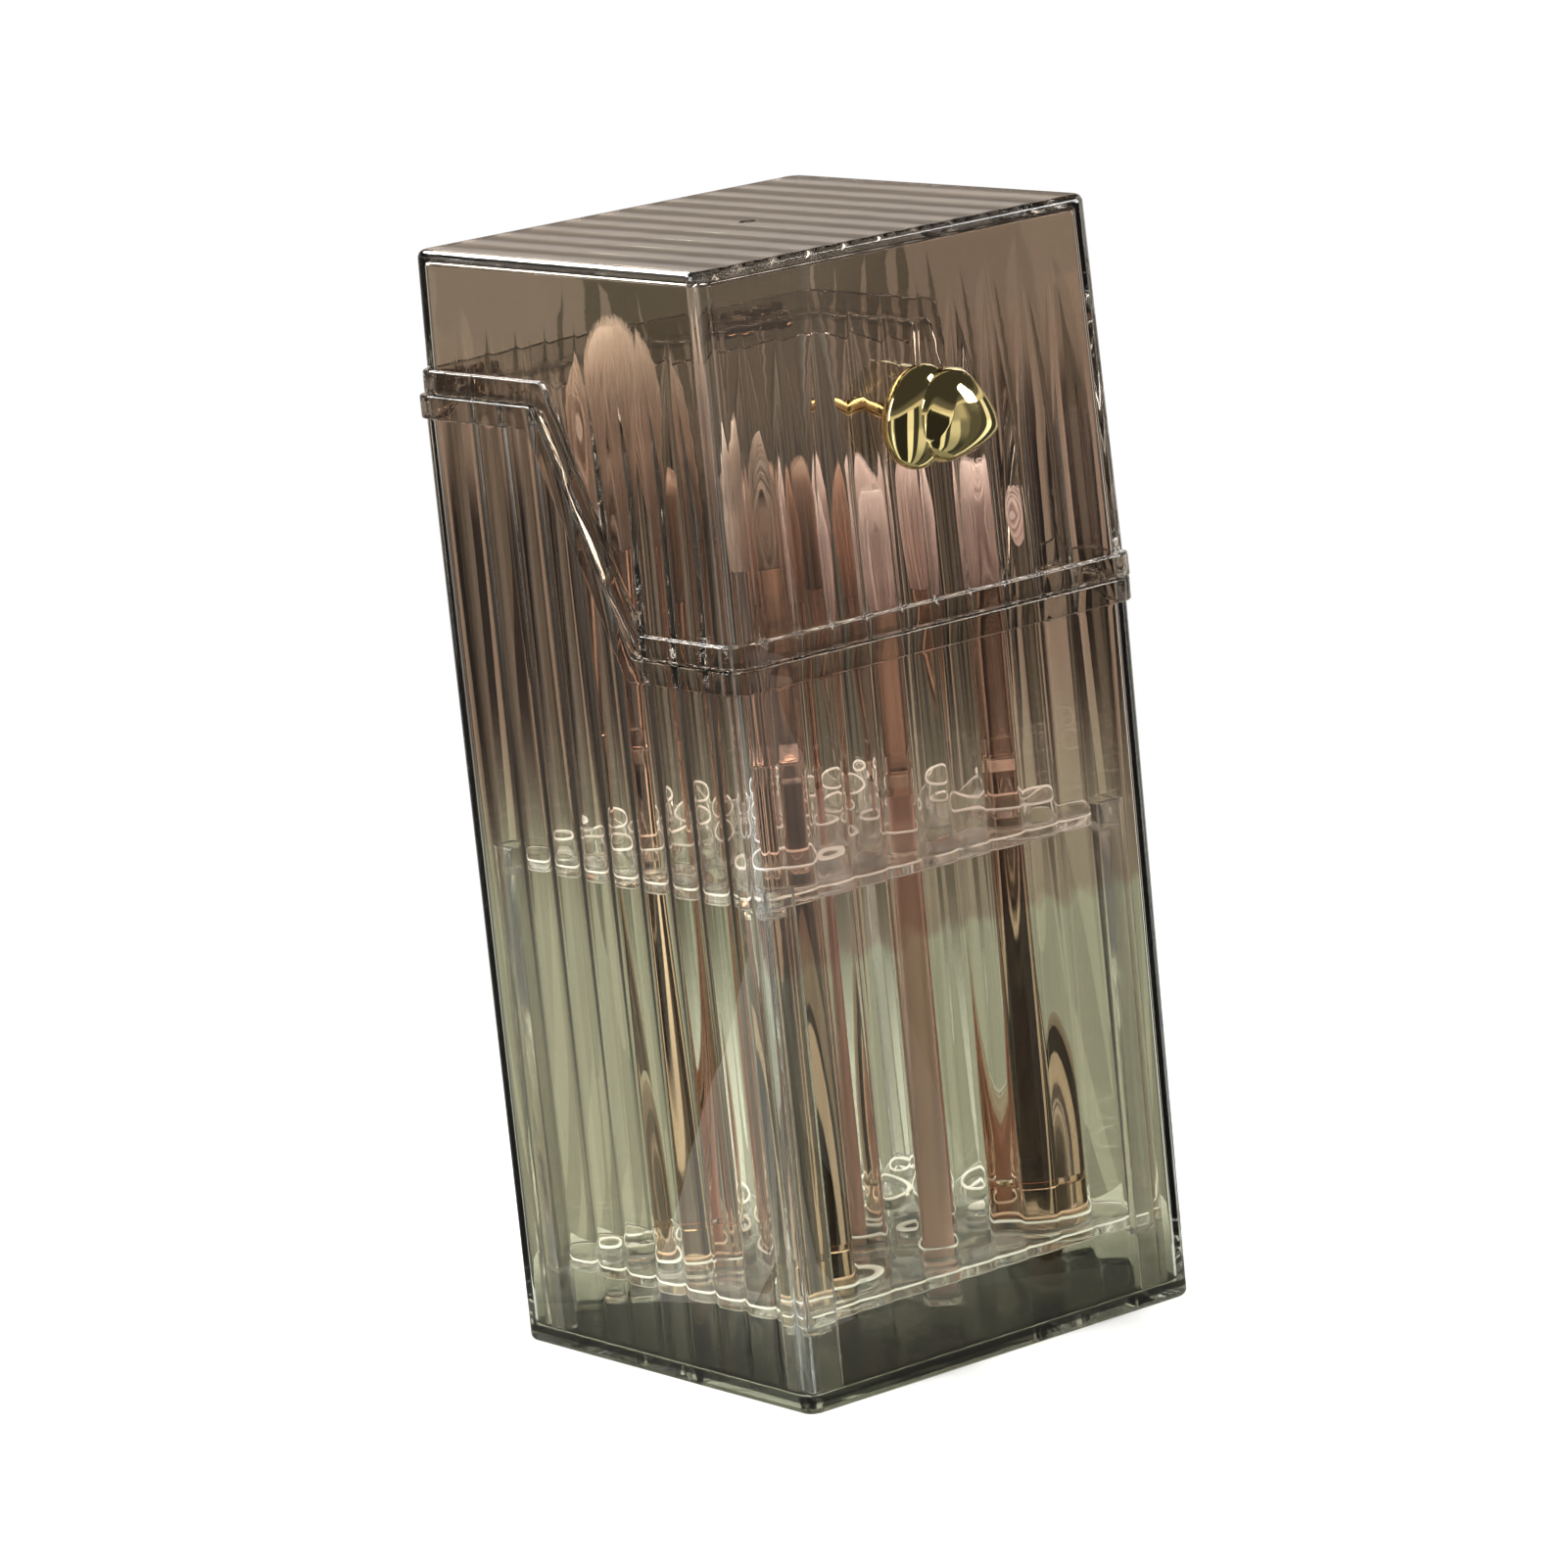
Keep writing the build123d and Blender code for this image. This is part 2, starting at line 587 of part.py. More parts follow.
for node, solid in parts.items():
    export_step(solid, f"parts/{node}.step")
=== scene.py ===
"""Looks of a makeup brush box: a clear fluted case with a stepped lid, a gold knob and a rack of brushes."""

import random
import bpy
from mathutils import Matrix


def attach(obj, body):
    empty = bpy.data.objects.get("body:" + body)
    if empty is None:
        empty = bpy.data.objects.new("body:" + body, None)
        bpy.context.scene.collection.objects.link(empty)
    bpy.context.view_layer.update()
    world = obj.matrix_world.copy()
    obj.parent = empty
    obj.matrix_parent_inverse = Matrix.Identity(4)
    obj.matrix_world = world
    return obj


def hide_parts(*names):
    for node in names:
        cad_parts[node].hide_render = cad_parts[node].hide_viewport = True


bl_info = {
    "name": "Makeup brush box",
    "version": (1, 0, 0),
    "blender": (4, 5, 0),
    "location": "3D View > Sidebar > Brush box",
    "description": "Builds a clear fluted makeup brush box round its CAD frame",
    "category": "Object",
}

from collections import namedtuple
from math import acos, atan2, ceil, cos, pi, radians, sin, sqrt, tan

import bmesh
import bpy
from mathutils import Matrix, Vector

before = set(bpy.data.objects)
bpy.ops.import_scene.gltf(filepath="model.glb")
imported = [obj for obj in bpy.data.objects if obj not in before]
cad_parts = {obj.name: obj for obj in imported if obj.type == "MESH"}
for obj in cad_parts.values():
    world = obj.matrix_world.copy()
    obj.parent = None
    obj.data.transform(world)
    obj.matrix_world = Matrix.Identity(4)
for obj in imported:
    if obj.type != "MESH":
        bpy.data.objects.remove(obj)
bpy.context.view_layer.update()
MM = 0.001


def length(name, description, millimetres, least=0.0):
    """A size that a user may change, given in millimetres and kept in metres."""
    return bpy.props.FloatProperty(name=name, description=description, default=millimetres * MM,
                                   min=least, precision=5, unit="LENGTH")


def share(name, description, default):
    """A part of another size, from 0 to 1."""
    return bpy.props.FloatProperty(name=name, description=description, default=default,
                                   min=0.0, max=1.0, subtype="FACTOR")


def tint(name, description, default):
    """A colour that a user may change."""
    return bpy.props.FloatVectorProperty(name=name, description=description, default=default,
                                         min=0.0, max=1.0, size=3, subtype="COLOR")


def count(name, description, default):
    """A whole number."""
    return bpy.props.IntProperty(name=name, description=description, default=default, min=1)


class BrushBoxShell(bpy.types.PropertyGroup):
    """Sizes of the case and the lid."""

    half_width: length("Half width", "Half the box's width at the split", 50.0)
    half_depth: length("Half depth", "Half the box's depth at the split", 47.9)
    height: length("Height", "Height of the shut box", 225.0)
    wall: length("Wall", "Thickness of the walls", 2.4)
    floor: length("Floor", "Thickness of the case's floor", 3.0)
    top: length("Top", "Thickness of the lid's top", 2.4)
    case_draft: length("Case draft", "How far each case wall leans in at the base", 0.5)
    lid_draft: length("Lid draft", "How far each lid wall leans in at the top", 1.2)
    corner: length("Corner radius", "Radius of the upright outer corners", 3.5)
    inner_corner: length("Inner corner radius", "Radius of the upright inner corners", 1.6)
    base_edge: length("Base edge", "Radius of the edge round the underside", 1.4)
    top_edge: length("Top edge", "Radius of the edge round the top", 1.6)
    split_front: length("Front split", "Height of the split round the front", 148.4)
    split_rear: length("Rear split", "Height of the split round the rear", 196.3)
    slope_front: length("Slope front", "Where the split starts to climb", -16.3, least=-1.0)
    slope_rear: length("Slope rear", "Where the split stops climbing", 8.4)
    split_bend: length("Split bend", "Radius of the split's two bends", 2.0)
    gap: length("Gap", "Gap between the two rims", 0.2)
    rim: length("Rim", "Height of each rim, square to the split", 4.8)
    rim_out: length("Rim stand-out", "How far the rims stand out from the walls", 1.0)
    rim_edge: length("Rim edge", "Radius of the rims' edges", 0.4)
    rib_pitch_front: length("Front pitch", "Pitch of the ribs on the front and rear walls", 8.65)
    rib_pitch_side: length("Side pitch", "Pitch of the ribs on the side walls", 9.7)
    ribs_front: count("Front ribs", "Ribs on the front and rear walls", 10)
    ribs_side: count("Side ribs", "Ribs on the side walls", 8)
    rib_depth: length("Rib depth", "Depth of the ribs at the rims", 0.8)
    rib_depth_floor: length("Rib depth at the floor", "Depth of the case's ribs at its floor", 0.25)
    groove: length("Groove", "Flat strip left between two ribs", 0.5)
    lid_ribs_end: length("End of the lid's ribs", "Height where the lid's ribs run out", 216.0)
    top_rib: length("Top rib depth", "Depth of the ribs under the lid's top", 0.45)


class BrushBoxFinish(bpy.types.PropertyGroup):
    """Colours of the plastics, metals and bristles."""

    # Upper and lower tints: partly the plastic's own tint, partly a painted refraction of a brown backdrop
    # above and a green one below
    upper: tint("Upper tint", "Tint of the plastic in the upper part", (0.59, 0.495, 0.42))
    lower: tint("Lower tint", "Tint of the plastic in the lower part", (0.73, 0.735, 0.615))
    # The floor tint is partly the plastic's own dark tint and partly painted shade for the shadow under the
    # box
    floor: tint("Floor tint", "Tint of the case's floor", (0.06, 0.057, 0.034))
    rim: tint("Rim tint", "Tint of the two rims", (0.33, 0.285, 0.235))
    rack: tint("Rack tint", "Tint of the rack's clear plastic", (0.95, 0.95, 0.92))
    gold: tint("Gold", "Colour of the knob", (0.83, 0.71, 0.34))
    rose: tint("Rose gold", "Colour of the fat handles", (0.97, 0.73, 0.63))
    tan_gold: tint("Tan gold", "Colour of the handles' end pieces", (0.95, 0.70, 0.54))
    copper: tint("Copper", "Colour of the ferrules", (0.84, 0.61, 0.50))
    stick: tint("Stick", "Colour of the slim handles", (0.72, 0.49, 0.42))
    # Heights of the border between the upper and lower tints, which is painted refraction
    change_low: length("Lowest tint change", "Height where the side walls start to change tint", 90.0)
    change_high: length("Highest tint change", "Height where the side walls have the upper tint", 130.0)
    change_front: length("Front tint change", "Height where the front wall turns to the upper tint", 88.0)


class BrushBoxRack(bpy.types.PropertyGroup):
    """Sizes of the rack's trays and posts."""

    half_x: length("Half width", "Half the rack's width", 45.5)
    half_y: length("Half depth", "Half the rack's depth", 43.4)
    upper_top: length("Upper tray", "Height of the upper tray's top", 101.8)
    lower_top: length("Lower tray", "Height of the lower tray's top", 18.4)
    thickness: length("Tray thickness", "Thickness of the trays", 2.4)
    corner: length("Tray corner", "Radius of the trays' corners", 2.0)
    edge: length("Tray edge", "Radius of the trays' edges", 0.35)
    wide: length("Wide hole", "Radius of the wide holes", 9.2)
    slim: length("Slim hole", "Radius of the slim holes", 4.4)
    collar: length("Collar wall", "Thickness of the collars round the holes", 1.2)
    upper_collar: length("Upper collars", "Height of the upper tray's collars", 3.8)
    lower_collar: length("Lower collars", "Height of the lower tray's collars", 2.0)
    cup_depth: length("Cup depth", "Depth of the lower tray's closed cups", 10.4)
    cup_floor: length("Cup floor", "Thickness of the cups' floors", 1.2)
    leg: length("Post leg", "Width of each leg of the angle posts", 7.0)
    post: length("Post thickness", "Thickness of the posts", 1.6)
    post_gap: length("Post gap", "Gap between a post and a tray", 0.05)
    post_above: length("Post above the tray", "How far the posts stand above the upper tray", 2.0)
    ledge: length("Ledge", "Width of the ledge under each tray's corner", 4.5)


class BrushBoxBrushes(bpy.types.PropertyGroup):
    """Sizes that the brushes share."""

    fat: length("Fat radius", "Radius of the fullest handle", 8.3)
    end_height: length("End height", "Height of the end piece below the ring", 24.0)
    tip: length("Tip radius", "Radius of the end piece's tip", 0.7)
    ring_width: length("Ring width", "Width of each half of the dark ring", 0.6)
    ring_depth: length("Ring depth", "Depth of the dark ring", 0.5)
    cone_height: length("Cone height", "Height of the end piece's cone", 9.5)
    cone_share: share("Cone share", "Share of the full radius at the cone's top", 0.75)
    barrel: length("Barrel height", "Height where the end piece is at its fullest", 18.5)
    full_share: share("Full share", "Share of the handle that keeps its full radius", 0.06)
    neck_share: share("Neck share", "Share of the handle where its neck begins", 0.84)
    neck: length("Neck radius", "Radius of a fat handle's neck", 3.0)
    slim: length("Slim radius", "Radius of the slim handles", 2.4)
    slim_neck: length("Slim neck radius", "Radius of a slim handle's neck", 2.3)
    slim_foot: length("Slim foot", "Height of a slim handle's tapered foot", 2.0)
    ferrule_wall: length("Ferrule wall", "Thickness of the ferrules", 0.4)
    bead: length("Bead", "How far a ferrule's bead stands out", 0.35)
    bead_width: length("Bead width", "Width of a ferrule's bead", 1.2)
    tenon: length("Tenon", "Length of handle inside a ferrule", 9.0)
    seat: length("Seat gap", "Gap between a tip and what it stands on", 0.3)
    hairs: count("Hairs", "Hairs in the largest head", 1500)


# A mesh in the making

VERT, FACE = bmesh.types.BMVert, bmesh.types.BMFace


def picked(items, kind):
    """The items of one kind from what an operator returns."""
    return [item for item in items if isinstance(item, kind)]


def quarter(steps, first=0):
    """Sine and cosine of even steps from 0 to 90 degrees."""
    angles = [radians(90) * step / steps for step in range(first, steps + 1)]
    return [(sin(angle), cos(angle)) for angle in angles]


def scaled(profile, lift=0.0):
    """A profile given in millimetres, in metres and raised by lift."""
    return [(radius * MM, lift + height * MM) for radius, height in profile]


def soft_corners(points, radii, steps=3):
    """The flat path of points with each inner corner turned into an arc of its radius."""
    path = [Vector(points[0])]
    for before, corner, after, radius in zip(points, points[1:], points[2:], radii):
        before, corner, after = Vector(before), Vector(corner), Vector(after)
        into, out = (before - corner).normalized(), (after - corner).normalized()
        half_angle = into.angle(out) / 2
        if radius <= 0 or half_angle > radians(89.5):
            path.append(corner)
            continue
        reach = radius / tan(half_angle)
        centre = corner + (into + out).normalized() * (radius / sin(half_angle))
        start, end = corner + into * reach - centre, corner + out * reach - centre
        swept = pi - 2 * half_angle
        for step in range(steps + 1):
            share_start = sin((1 - step / steps) * swept) / sin(swept)
            share_end = sin(step / steps * swept) / sin(swept)
            path.append(centre + (start * share_start + end * share_end))
    path.append(Vector(points[-1]))
    return path


def loft(bm, rings, slots=None):
    """Extrudes the first ring of points through the others, and returns the edges of the first and last."""
    verts = [bm.verts.new(point) for point in rings[0]]
    first = edges = [bm.edges.new(pair) for pair in zip(verts, verts[1:] + verts[:1])]
    for index, ring in enumerate(rings[1:]):
        grown = bmesh.ops.extrude_edge_only(bm, edges=edges)["geom"]
        fresh = set(picked(grown, VERT))
        above = []
        for vert, point in zip(verts, ring):
            others = [edge.other_vert(vert) for edge in vert.link_edges]
            raised = next(other for other in others if other in fresh)
            raised.co = point
            above.append(raised)
        if slots:
            for face in picked(grown, FACE):
                face.material_index = slots[index]
        verts = above
        edges = [bm.edges.get(pair) for pair in zip(verts, verts[1:] + verts[:1])]
    return first, edges


def cap(bm, edges):
    """Closes a ring with one flat face."""
    return bmesh.ops.holes_fill(bm, edges=edges, sides=0)["faces"]


def turn(bm, profile, place=None, steps=48):
    """Turns a profile of (radius, height) points about the upright axis, then moves it to its place."""
    before = set(bm.verts)
    verts = [bm.verts.new((radius, 0, height)) for radius, height in profile]
    edges = [bm.edges.new(pair) for pair in zip(verts, verts[1:])]
    bmesh.ops.spin(bm, geom=verts + edges, cent=(0, 0, 0), axis=(0, 0, 1), angle=2 * pi,
                   steps=steps, use_merge=True)
    fresh = [vert for vert in bm.verts if vert not in before]
    if place is not None:
        bmesh.ops.transform(bm, matrix=place, verts=fresh)


def turned(profile, place, steps):
    """A bmesh that holds one turned shape."""
    bm = bmesh.new()
    turn(bm, profile, place, steps)
    return bm


def soften(bm, edges, offset):
    """Rounds edges a little."""
    bmesh.ops.bevel(bm, geom=edges, offset=offset, affect="EDGES", segments=2, profile=0.5, material=-1)


def block(bm, low, high, edge):
    """A box between two corners with rounded edges."""
    fresh = bmesh.ops.create_cube(bm, size=1)["verts"]
    for vert in fresh:
        vert.co = Vector([a + (b - a) * (c + 0.5) for a, b, c in zip(low, high, vert.co)])
    soften(bm, list({item for vert in fresh for item in vert.link_edges}), edge)


def new_object(bm, name, materials):
    """An object at the origin that holds the finished bmesh."""
    mesh = bpy.data.meshes.new(name)
    bm.to_mesh(mesh)
    bm.free()
    for material in materials:
        mesh.materials.append(material)
    made = bpy.data.objects.new(name, mesh)
    bpy.context.scene.collection.objects.link(made)
    return made


def make_piece(bm, name, body, slot, materials, replaced, sharp=38.0, shadow=True):
    """Turns a bmesh into a piece that rides on a body, smooth except at sharp edges and on flat ends."""
    bmesh.ops.remove_doubles(bm, verts=bm.verts, dist=1e-7)
    bmesh.ops.recalc_face_normals(bm, faces=bm.faces)
    limit = radians(sharp)
    for edge in bm.edges:
        edge.smooth = edge.calc_face_angle(0.0) < limit
    for face in bm.faces:
        face.smooth = len(face.verts) < 9
    piece = new_object(bm, name, materials)
    piece.visible_shadow = shadow
    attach(piece, body)
    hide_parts(replaced)


# Materials

def maths(operation, swapped=False):
    """A method of Value that adds a Math node."""
    def method(self, other=0.0):
        first, second = (other, self) if swapped else (self, other)
        return self.finish.node("ShaderNodeMath", {"operation": operation}, {0: first, 1: second})
    return method


class Value:
    """A socket whose arithmetic adds Math nodes."""

    __add__, __radd__ = maths("ADD"), maths("ADD", swapped=True)
    __sub__, __rsub__ = maths("SUBTRACT"), maths("SUBTRACT", swapped=True)
    __mul__, __rmul__ = maths("MULTIPLY"), maths("MULTIPLY", swapped=True)
    __truediv__ = maths("DIVIDE")
    absolute, cosine, most = maths("ABSOLUTE"), maths("COSINE"), maths("MAXIMUM")

    def __init__(self, finish, socket):
        self.finish = finish
        self.socket = socket

    def ramp(self, low, high):
        """Runs smoothly from 0 at low to 1 at high."""
        return self.finish.node("ShaderNodeMapRange", {"interpolation_type": "SMOOTHSTEP"},
                                {"Value": self, "From Min": low, "From Max": high})


class Finish:
    """A material or world in the making."""

    def __init__(self, owner):
        self.owner = owner
        owner.use_nodes = True
        self.tree = owner.node_tree
        self.tree.nodes.clear()

    def node(self, kind, settings=None, inputs=None, output=0):
        """Adds a node with its settings, then the values or links of its sockets."""
        made = self.tree.nodes.new(kind)
        for key, value in (settings or {}).items():
            if key == "steps":
                self.set_steps(made.color_ramp, value)
            else:
                setattr(made, key, value)
        for key, value in (inputs or {}).items():
            socket = made.inputs[key]
            if isinstance(value, Value):
                self.tree.links.new(value.socket, socket)
            elif hasattr(value, "__len__") and len(socket.default_value) == 4:
                socket.default_value = (*value[:3], 1.0)
            else:
                socket.default_value = value
        return Value(self, made.outputs[output])

    @staticmethod
    def set_steps(ramp, steps):
        """Gives a colour ramp hard steps of grey."""
        ramp.interpolation = "CONSTANT"
        while len(ramp.elements) < len(steps):
            ramp.elements.new(1.0)
        for element, (position, grey) in zip(ramp.elements, steps):
            element.position = position
            element.color = (grey, grey, grey, 1.0)

    def place(self):
        """The point on the piece, in the box's own frame."""
        return self.node("ShaderNodeTexCoord", output=3)

    def axes(self, point=None):
        """The x, y and z of a point, by default the point on the piece."""
        split = self.node("ShaderNodeSeparateXYZ", None, {0: point or self.place()})
        return [Value(self, socket) for socket in split.socket.node.outputs]

    def noise(self, scale, stretch=(1, 1, 1), detail=2.0):
        place = self.node("ShaderNodeMapping", None, {"Vector": self.place(), "Scale": stretch})
        return self.node("ShaderNodeTexNoise", None, {"Vector": place, "Scale": scale, "Detail": detail})

    def mix(self, factor, first, second, blend="MIX"):
        return self.node("ShaderNodeMix", {"data_type": "RGBA", "blend_type": blend},
                         {0: factor, 6: first, 7: second}, 2)

    def bump(self, height, distance):
        return self.node("ShaderNodeBump", None, {"Height": height, "Distance": distance})

    def surface(self, **inputs):
        """The shader itself, from its sockets' names written with underscores."""
        names = [key.replace("_", " ").title().replace("Ior", "IOR") for key in inputs]
        return self.node("ShaderNodeBsdfPrincipled", None, dict(zip(names, inputs.values())))

    def mixed(self, factor, first, second):
        """Two shaders mixed."""
        return self.node("ShaderNodeMixShader", None, {0: factor, 1: first, 2: second})

    def done(self, shader, kind="ShaderNodeOutputMaterial"):
        """Ends the tree in its output, and returns the material or world."""
        end = self.tree.nodes.new(kind)
        self.tree.links.new(shader.socket, end.inputs["Surface"])
        return self.owner


def new_finish(name):
    return Finish(bpy.data.materials.new(name))


def kept(name, make):
    """The material of this name, made the first time that it is asked for."""
    return bpy.data.materials.get(name) or make(new_finish(name))


def shade(colour, part):
    """A colour made darker or lighter."""
    return tuple(part * value for value in colour)


def by_wall(along, half, start, end):
    """Runs from 0 to 1 between two depths, in millimetres, in from the two walls that face this way."""
    return along.absolute().ramp(half - start * MM, half - end * MM)


def bars(along, pitch):
    """A wave with one crest for each rib."""
    return (along * (2 * pi / pitch)).cosine()


def tint_with_painted_light(made, colours, shell):
    """Brown above and grey green below, partly the plastic's own tint and partly a painted refraction of a
    brown backdrop above and a green one below, with long soft fingers along the ribs and crisp teeth in
    front.
    """
    x, y, z = made.axes()
    across_front, across_side = bars(x, shell.rib_pitch_front), bars(y, shell.rib_pitch_side)
    on_front = y.ramp(6 * MM - shell.half_depth, 3.6 * MM - shell.half_depth)
    off_front = 1 - on_front
    # Painted refraction: the border between the two tints runs in teeth on the front wall and in fingers on
    # the sides, as the ribs would bend the backdrop's edge
    teeth = z + (across_front * 0.5 + made.noise(260.0, (1, 1, 0)) * 4.0) * 0.002 - 4 * MM
    front = teeth.ramp(colours.change_front - 1.2 * MM, colours.change_front + 1.2 * MM)
    fingers = z + across_side * 0.014 + made.noise(14.0, detail=1.0) * 0.02 - 0.01
    side = fingers.ramp(colours.change_low, colours.change_high)
    # Painted shade: the front wall takes darker copies of both tints
    lower = made.mix(on_front, colours.lower, shade(colours.lower, 0.84))
    upper = made.mix(on_front, colours.upper, shade(colours.upper, 0.85))
    colour = made.mix(front * on_front + side * off_front, lower, upper)
    # Painted shade: dark lines in the grooves between the ribs, most of all above the upper tray
    across = across_front + (across_side - across_front) * by_wall(x, shell.half_width, 6, 4)
    groove = across.ramp(0.55, 0.95) * off_front * z.ramp(205 * MM, 165 * MM)
    groove = groove * (z.ramp(80 * MM, 120 * MM) * 0.62 + 0.08)
    colour = made.mix(groove, colour, (0.10, 0.085, 0.065))
    # Painted shade near the floor, painted light under the lid's top, and a painted pale blue highlight at
    # the upright corners
    colour = made.mix(z.ramp(20 * MM, 5 * MM) * 0.8, colour, (0.24, 0.245, 0.18))
    colour = made.mix(off_front * z.ramp(192 * MM, 208 * MM), colour, (0.59, 0.53, 0.45))
    painted_corner_highlight = by_wall(x, shell.half_width, 4.2, 3.2) * by_wall(y, shell.half_depth, 4.2, 3.2)
    return made.mix(painted_corner_highlight * 0.7, colour, (0.80, 0.86, 0.90))


def clear_shell(made):
    """The walls' plastic: tinted by height with painted refraction and painted shade, dark at the floor with
    painted shade, and barred with painted shade stripes over the ribs under the top.
    """
    colours, shell = bpy.context.scene.brush_box_finish, bpy.context.scene.brush_box_shell
    floor, top = shell.floor, shell.height
    cloud = made.noise(45.0, detail=3.0)
    colour = tint_with_painted_light(made, colours, shell)
    x, y, z = made.axes()
    # Below the floor's top: the floor tint, which carries painted shade, and a lighter strip on the outside
    outside = by_wall(x, shell.half_width, 2.6, 2.2).most(by_wall(y, shell.half_depth, 2.6, 2.2))
    base = made.mix(outside, colours.floor, (0.26, 0.27, 0.19))
    colour = made.mix(z.ramp(floor + 0.4 * MM, floor - 0.2 * MM), colour, base)
    # A painted near-black line of shade where the floor meets the walls
    painted_floor_line = z.ramp(floor - 0.8 * MM, floor - 0.4 * MM) * z.ramp(floor + 1.1 * MM, floor + 0.6 * MM)
    colour = made.mix(painted_floor_line, colour, (0.006, 0.007, 0.005))
    barred = bars(x, shell.rib_pitch_front)
    # Painted shade stripes across the top, over the ribs under it
    on_top = z.ramp(top - 3.0 * MM, top - 2.0 * MM)
    colour = made.mix((barred * 0.5 + 0.5) * on_top * 0.75, colour, (0.20, 0.155, 0.125))
    colour = made.mix(0.06, colour, made.mix(cloud, (0.4, 0.4, 0.4), (0.8, 0.8, 0.8)), "MULTIPLY")
    wave = made.noise(60.0, (1, 1, 0.35), detail=1.0)
    wave = wave + barred * 0.6 * z.ramp(top - 0.02 * MM, top - 0.002 * MM)
    return made.done(made.surface(base_color=colour, roughness=cloud * 0.03, transmission_weight=1.0,
                                  ior=1.49, normal=made.bump(wave, 0.00006)))


def floor_plastic(made):
    """The case's dark floor, which mirrors less than the walls do. Its tint is partly its own and partly
    painted shade for the shadow under the box.
    """
    floor = bpy.context.scene.brush_box_finish.floor
    cloud = made.noise(45.0, detail=3.0)
    return made.done(made.surface(base_color=made.mix(cloud, floor, shade(floor, 1.4)),
                                  roughness=0.01 + cloud * 0.03, transmission_weight=1.0, ior=1.15))


def rim_plastic(made):
    """The darker plastic of the two rims."""
    rim = bpy.context.scene.brush_box_finish.rim
    cloud = made.noise(60.0, detail=3.0)
    return made.done(made.surface(base_color=made.mix(cloud, rim, shade(rim, 0.8)),
                                  roughness=cloud * 0.03, transmission_weight=1.0, ior=1.49))


def rack_plastic(made):
    """The rack's plastic, a little wavy."""
    rack = bpy.context.scene.brush_box_finish.rack
    cloud = made.noise(80.0)
    return made.done(made.surface(base_color=made.mix(cloud, rack, shade(rack, 0.93)),
                                  roughness=0.02 + cloud * 0.04, transmission_weight=0.98, ior=1.49,
                                  normal=made.bump(made.noise(160.0, detail=1.0), 0.00005)))


def frosted_edge(made):
    """The rack's moulded edges and lips: clear, with broken bright glints."""
    cloud = made.noise(220.0, detail=3.0)
    look = {"base_color": made.mix(cloud, bpy.context.scene.brush_box_finish.rack, (1.0, 1.0, 0.98)),
            "ior": 1.49, "normal": made.bump(made.noise(420.0), 0.0001)}
    clear = made.surface(roughness=0.03, transmission_weight=1.0, **look)
    bright = made.surface(roughness=0.08 + cloud * 0.2, transmission_weight=0.3, **look)
    return made.done(made.mixed(made.noise(150.0).ramp(0.24, 0.42), clear, bright))


def polished(colour, rough, streak=0.0):
    """A plated metal with faint clouds and fine lines round the piece."""
    def make(made):
        cloud = made.noise(120.0, detail=4.0)
        lines = made.noise(900.0, (0.2, 0.2, 1), detail=1.0)
        return made.done(made.surface(base_color=made.mix(cloud, colour, shade(colour, 0.82)), metallic=1.0,
                                      roughness=rough + cloud * 0.05,
                                      normal=made.bump(lines, 0.000004 + streak * 0.00002)))
    return make


def hair(root, tip, low, high):
    """Soft hair that turns from the root's colour to the tip's between two heights."""
    def make(made):
        strands = made.noise(1400.0, (1, 1, 0.02))
        along = made.mix(made.axes()[2].ramp(low, high), root, tip)
        colour = made.mix(0.55, made.mix(strands, shade(root, 0.72), along), along)
        return made.done(made.surface(base_color=colour, roughness=0.55 + strands * 0.2, sheen_weight=0.4))
    return make


# Case and lid

# The hinges: places of their knuckles, the knuckles' sizes, and the bores of the case's and the lid's
HINGE_X, HINGE_OUT = 36 * MM, 2.9 * MM
KNUCKLE_LENGTH, KNUCKLE_PITCH, KNUCKLE_RADIUS = 4.8 * MM, 5 * MM, 2.6 * MM
CASE_BORE, LID_BORE = 1.0 * MM, 1.05 * MM
# Radius and height, in millimetres, of a hinge pin and of the mark that moulding leaves in the lid's top
PIN = ((0, -7.5), (0.85, -7.5), (1.0, -7.3), (1.0, 7.5), (1.7, 7.5), (1.7, 7.9), (1.5, 8.2), (0, 8.3))
GATE_MARK = ((2.3, 0), (1.9, 0), (1.7, -0.05), (1.45, -0.22), (1.0, -0.25), (0.75, -0.2), (0.6, -0.02),
             (0.45, 0), (0, 0))


def split_height(shell, y, offset):
    """Height of the split at y, moved square to itself by offset, with its two bends rounded."""
    angle = atan2(shell.split_rear - shell.split_front, shell.slope_rear - shell.slope_front)
    miter = offset * tan(angle / 2)
    low, high = shell.split_front + offset, shell.split_rear + offset
    start, end = shell.slope_front - miter, shell.slope_rear - miter
    reach = shell.split_bend * tan(angle / 2)
    if y <= start - reach:
        return low
    if y < start + reach * cos(angle):
        return low + shell.split_bend - sqrt(shell.split_bend ** 2 - (y - start + reach) ** 2)
    if y <= end - reach * cos(angle):
        return low + (y - start) * tan(angle)
    if y < end + reach:
        return high - shell.split_bend + sqrt(shell.split_bend ** 2 - (end + reach - y) ** 2)
    return high


def level(value):
    """The same value all the way round."""
    return lambda _: value


def beside_split(shell, offset):
    return lambda y: split_height(shell, y, offset)


def between(shell, offset, z, part):
    """Part of the way from the split's offset to a level height."""
    return lambda y: split_height(shell, y, offset) * (1 - part) + z * part


def wall_halves(shell, draft, upright, far, inward=0.0):
    """Half sizes by height: full where the walls are upright, and less by the draft at the far end."""
    def halves(z):
        lean = draft * (z - upright) / (far - upright)
        return shell.half_width - lean - inward, shell.half_depth - lean - inward
    return halves


def case_halves(shell, inward=0.0):
    return wall_halves(shell, shell.case_draft, shell.split_rear, 0.0, inward)


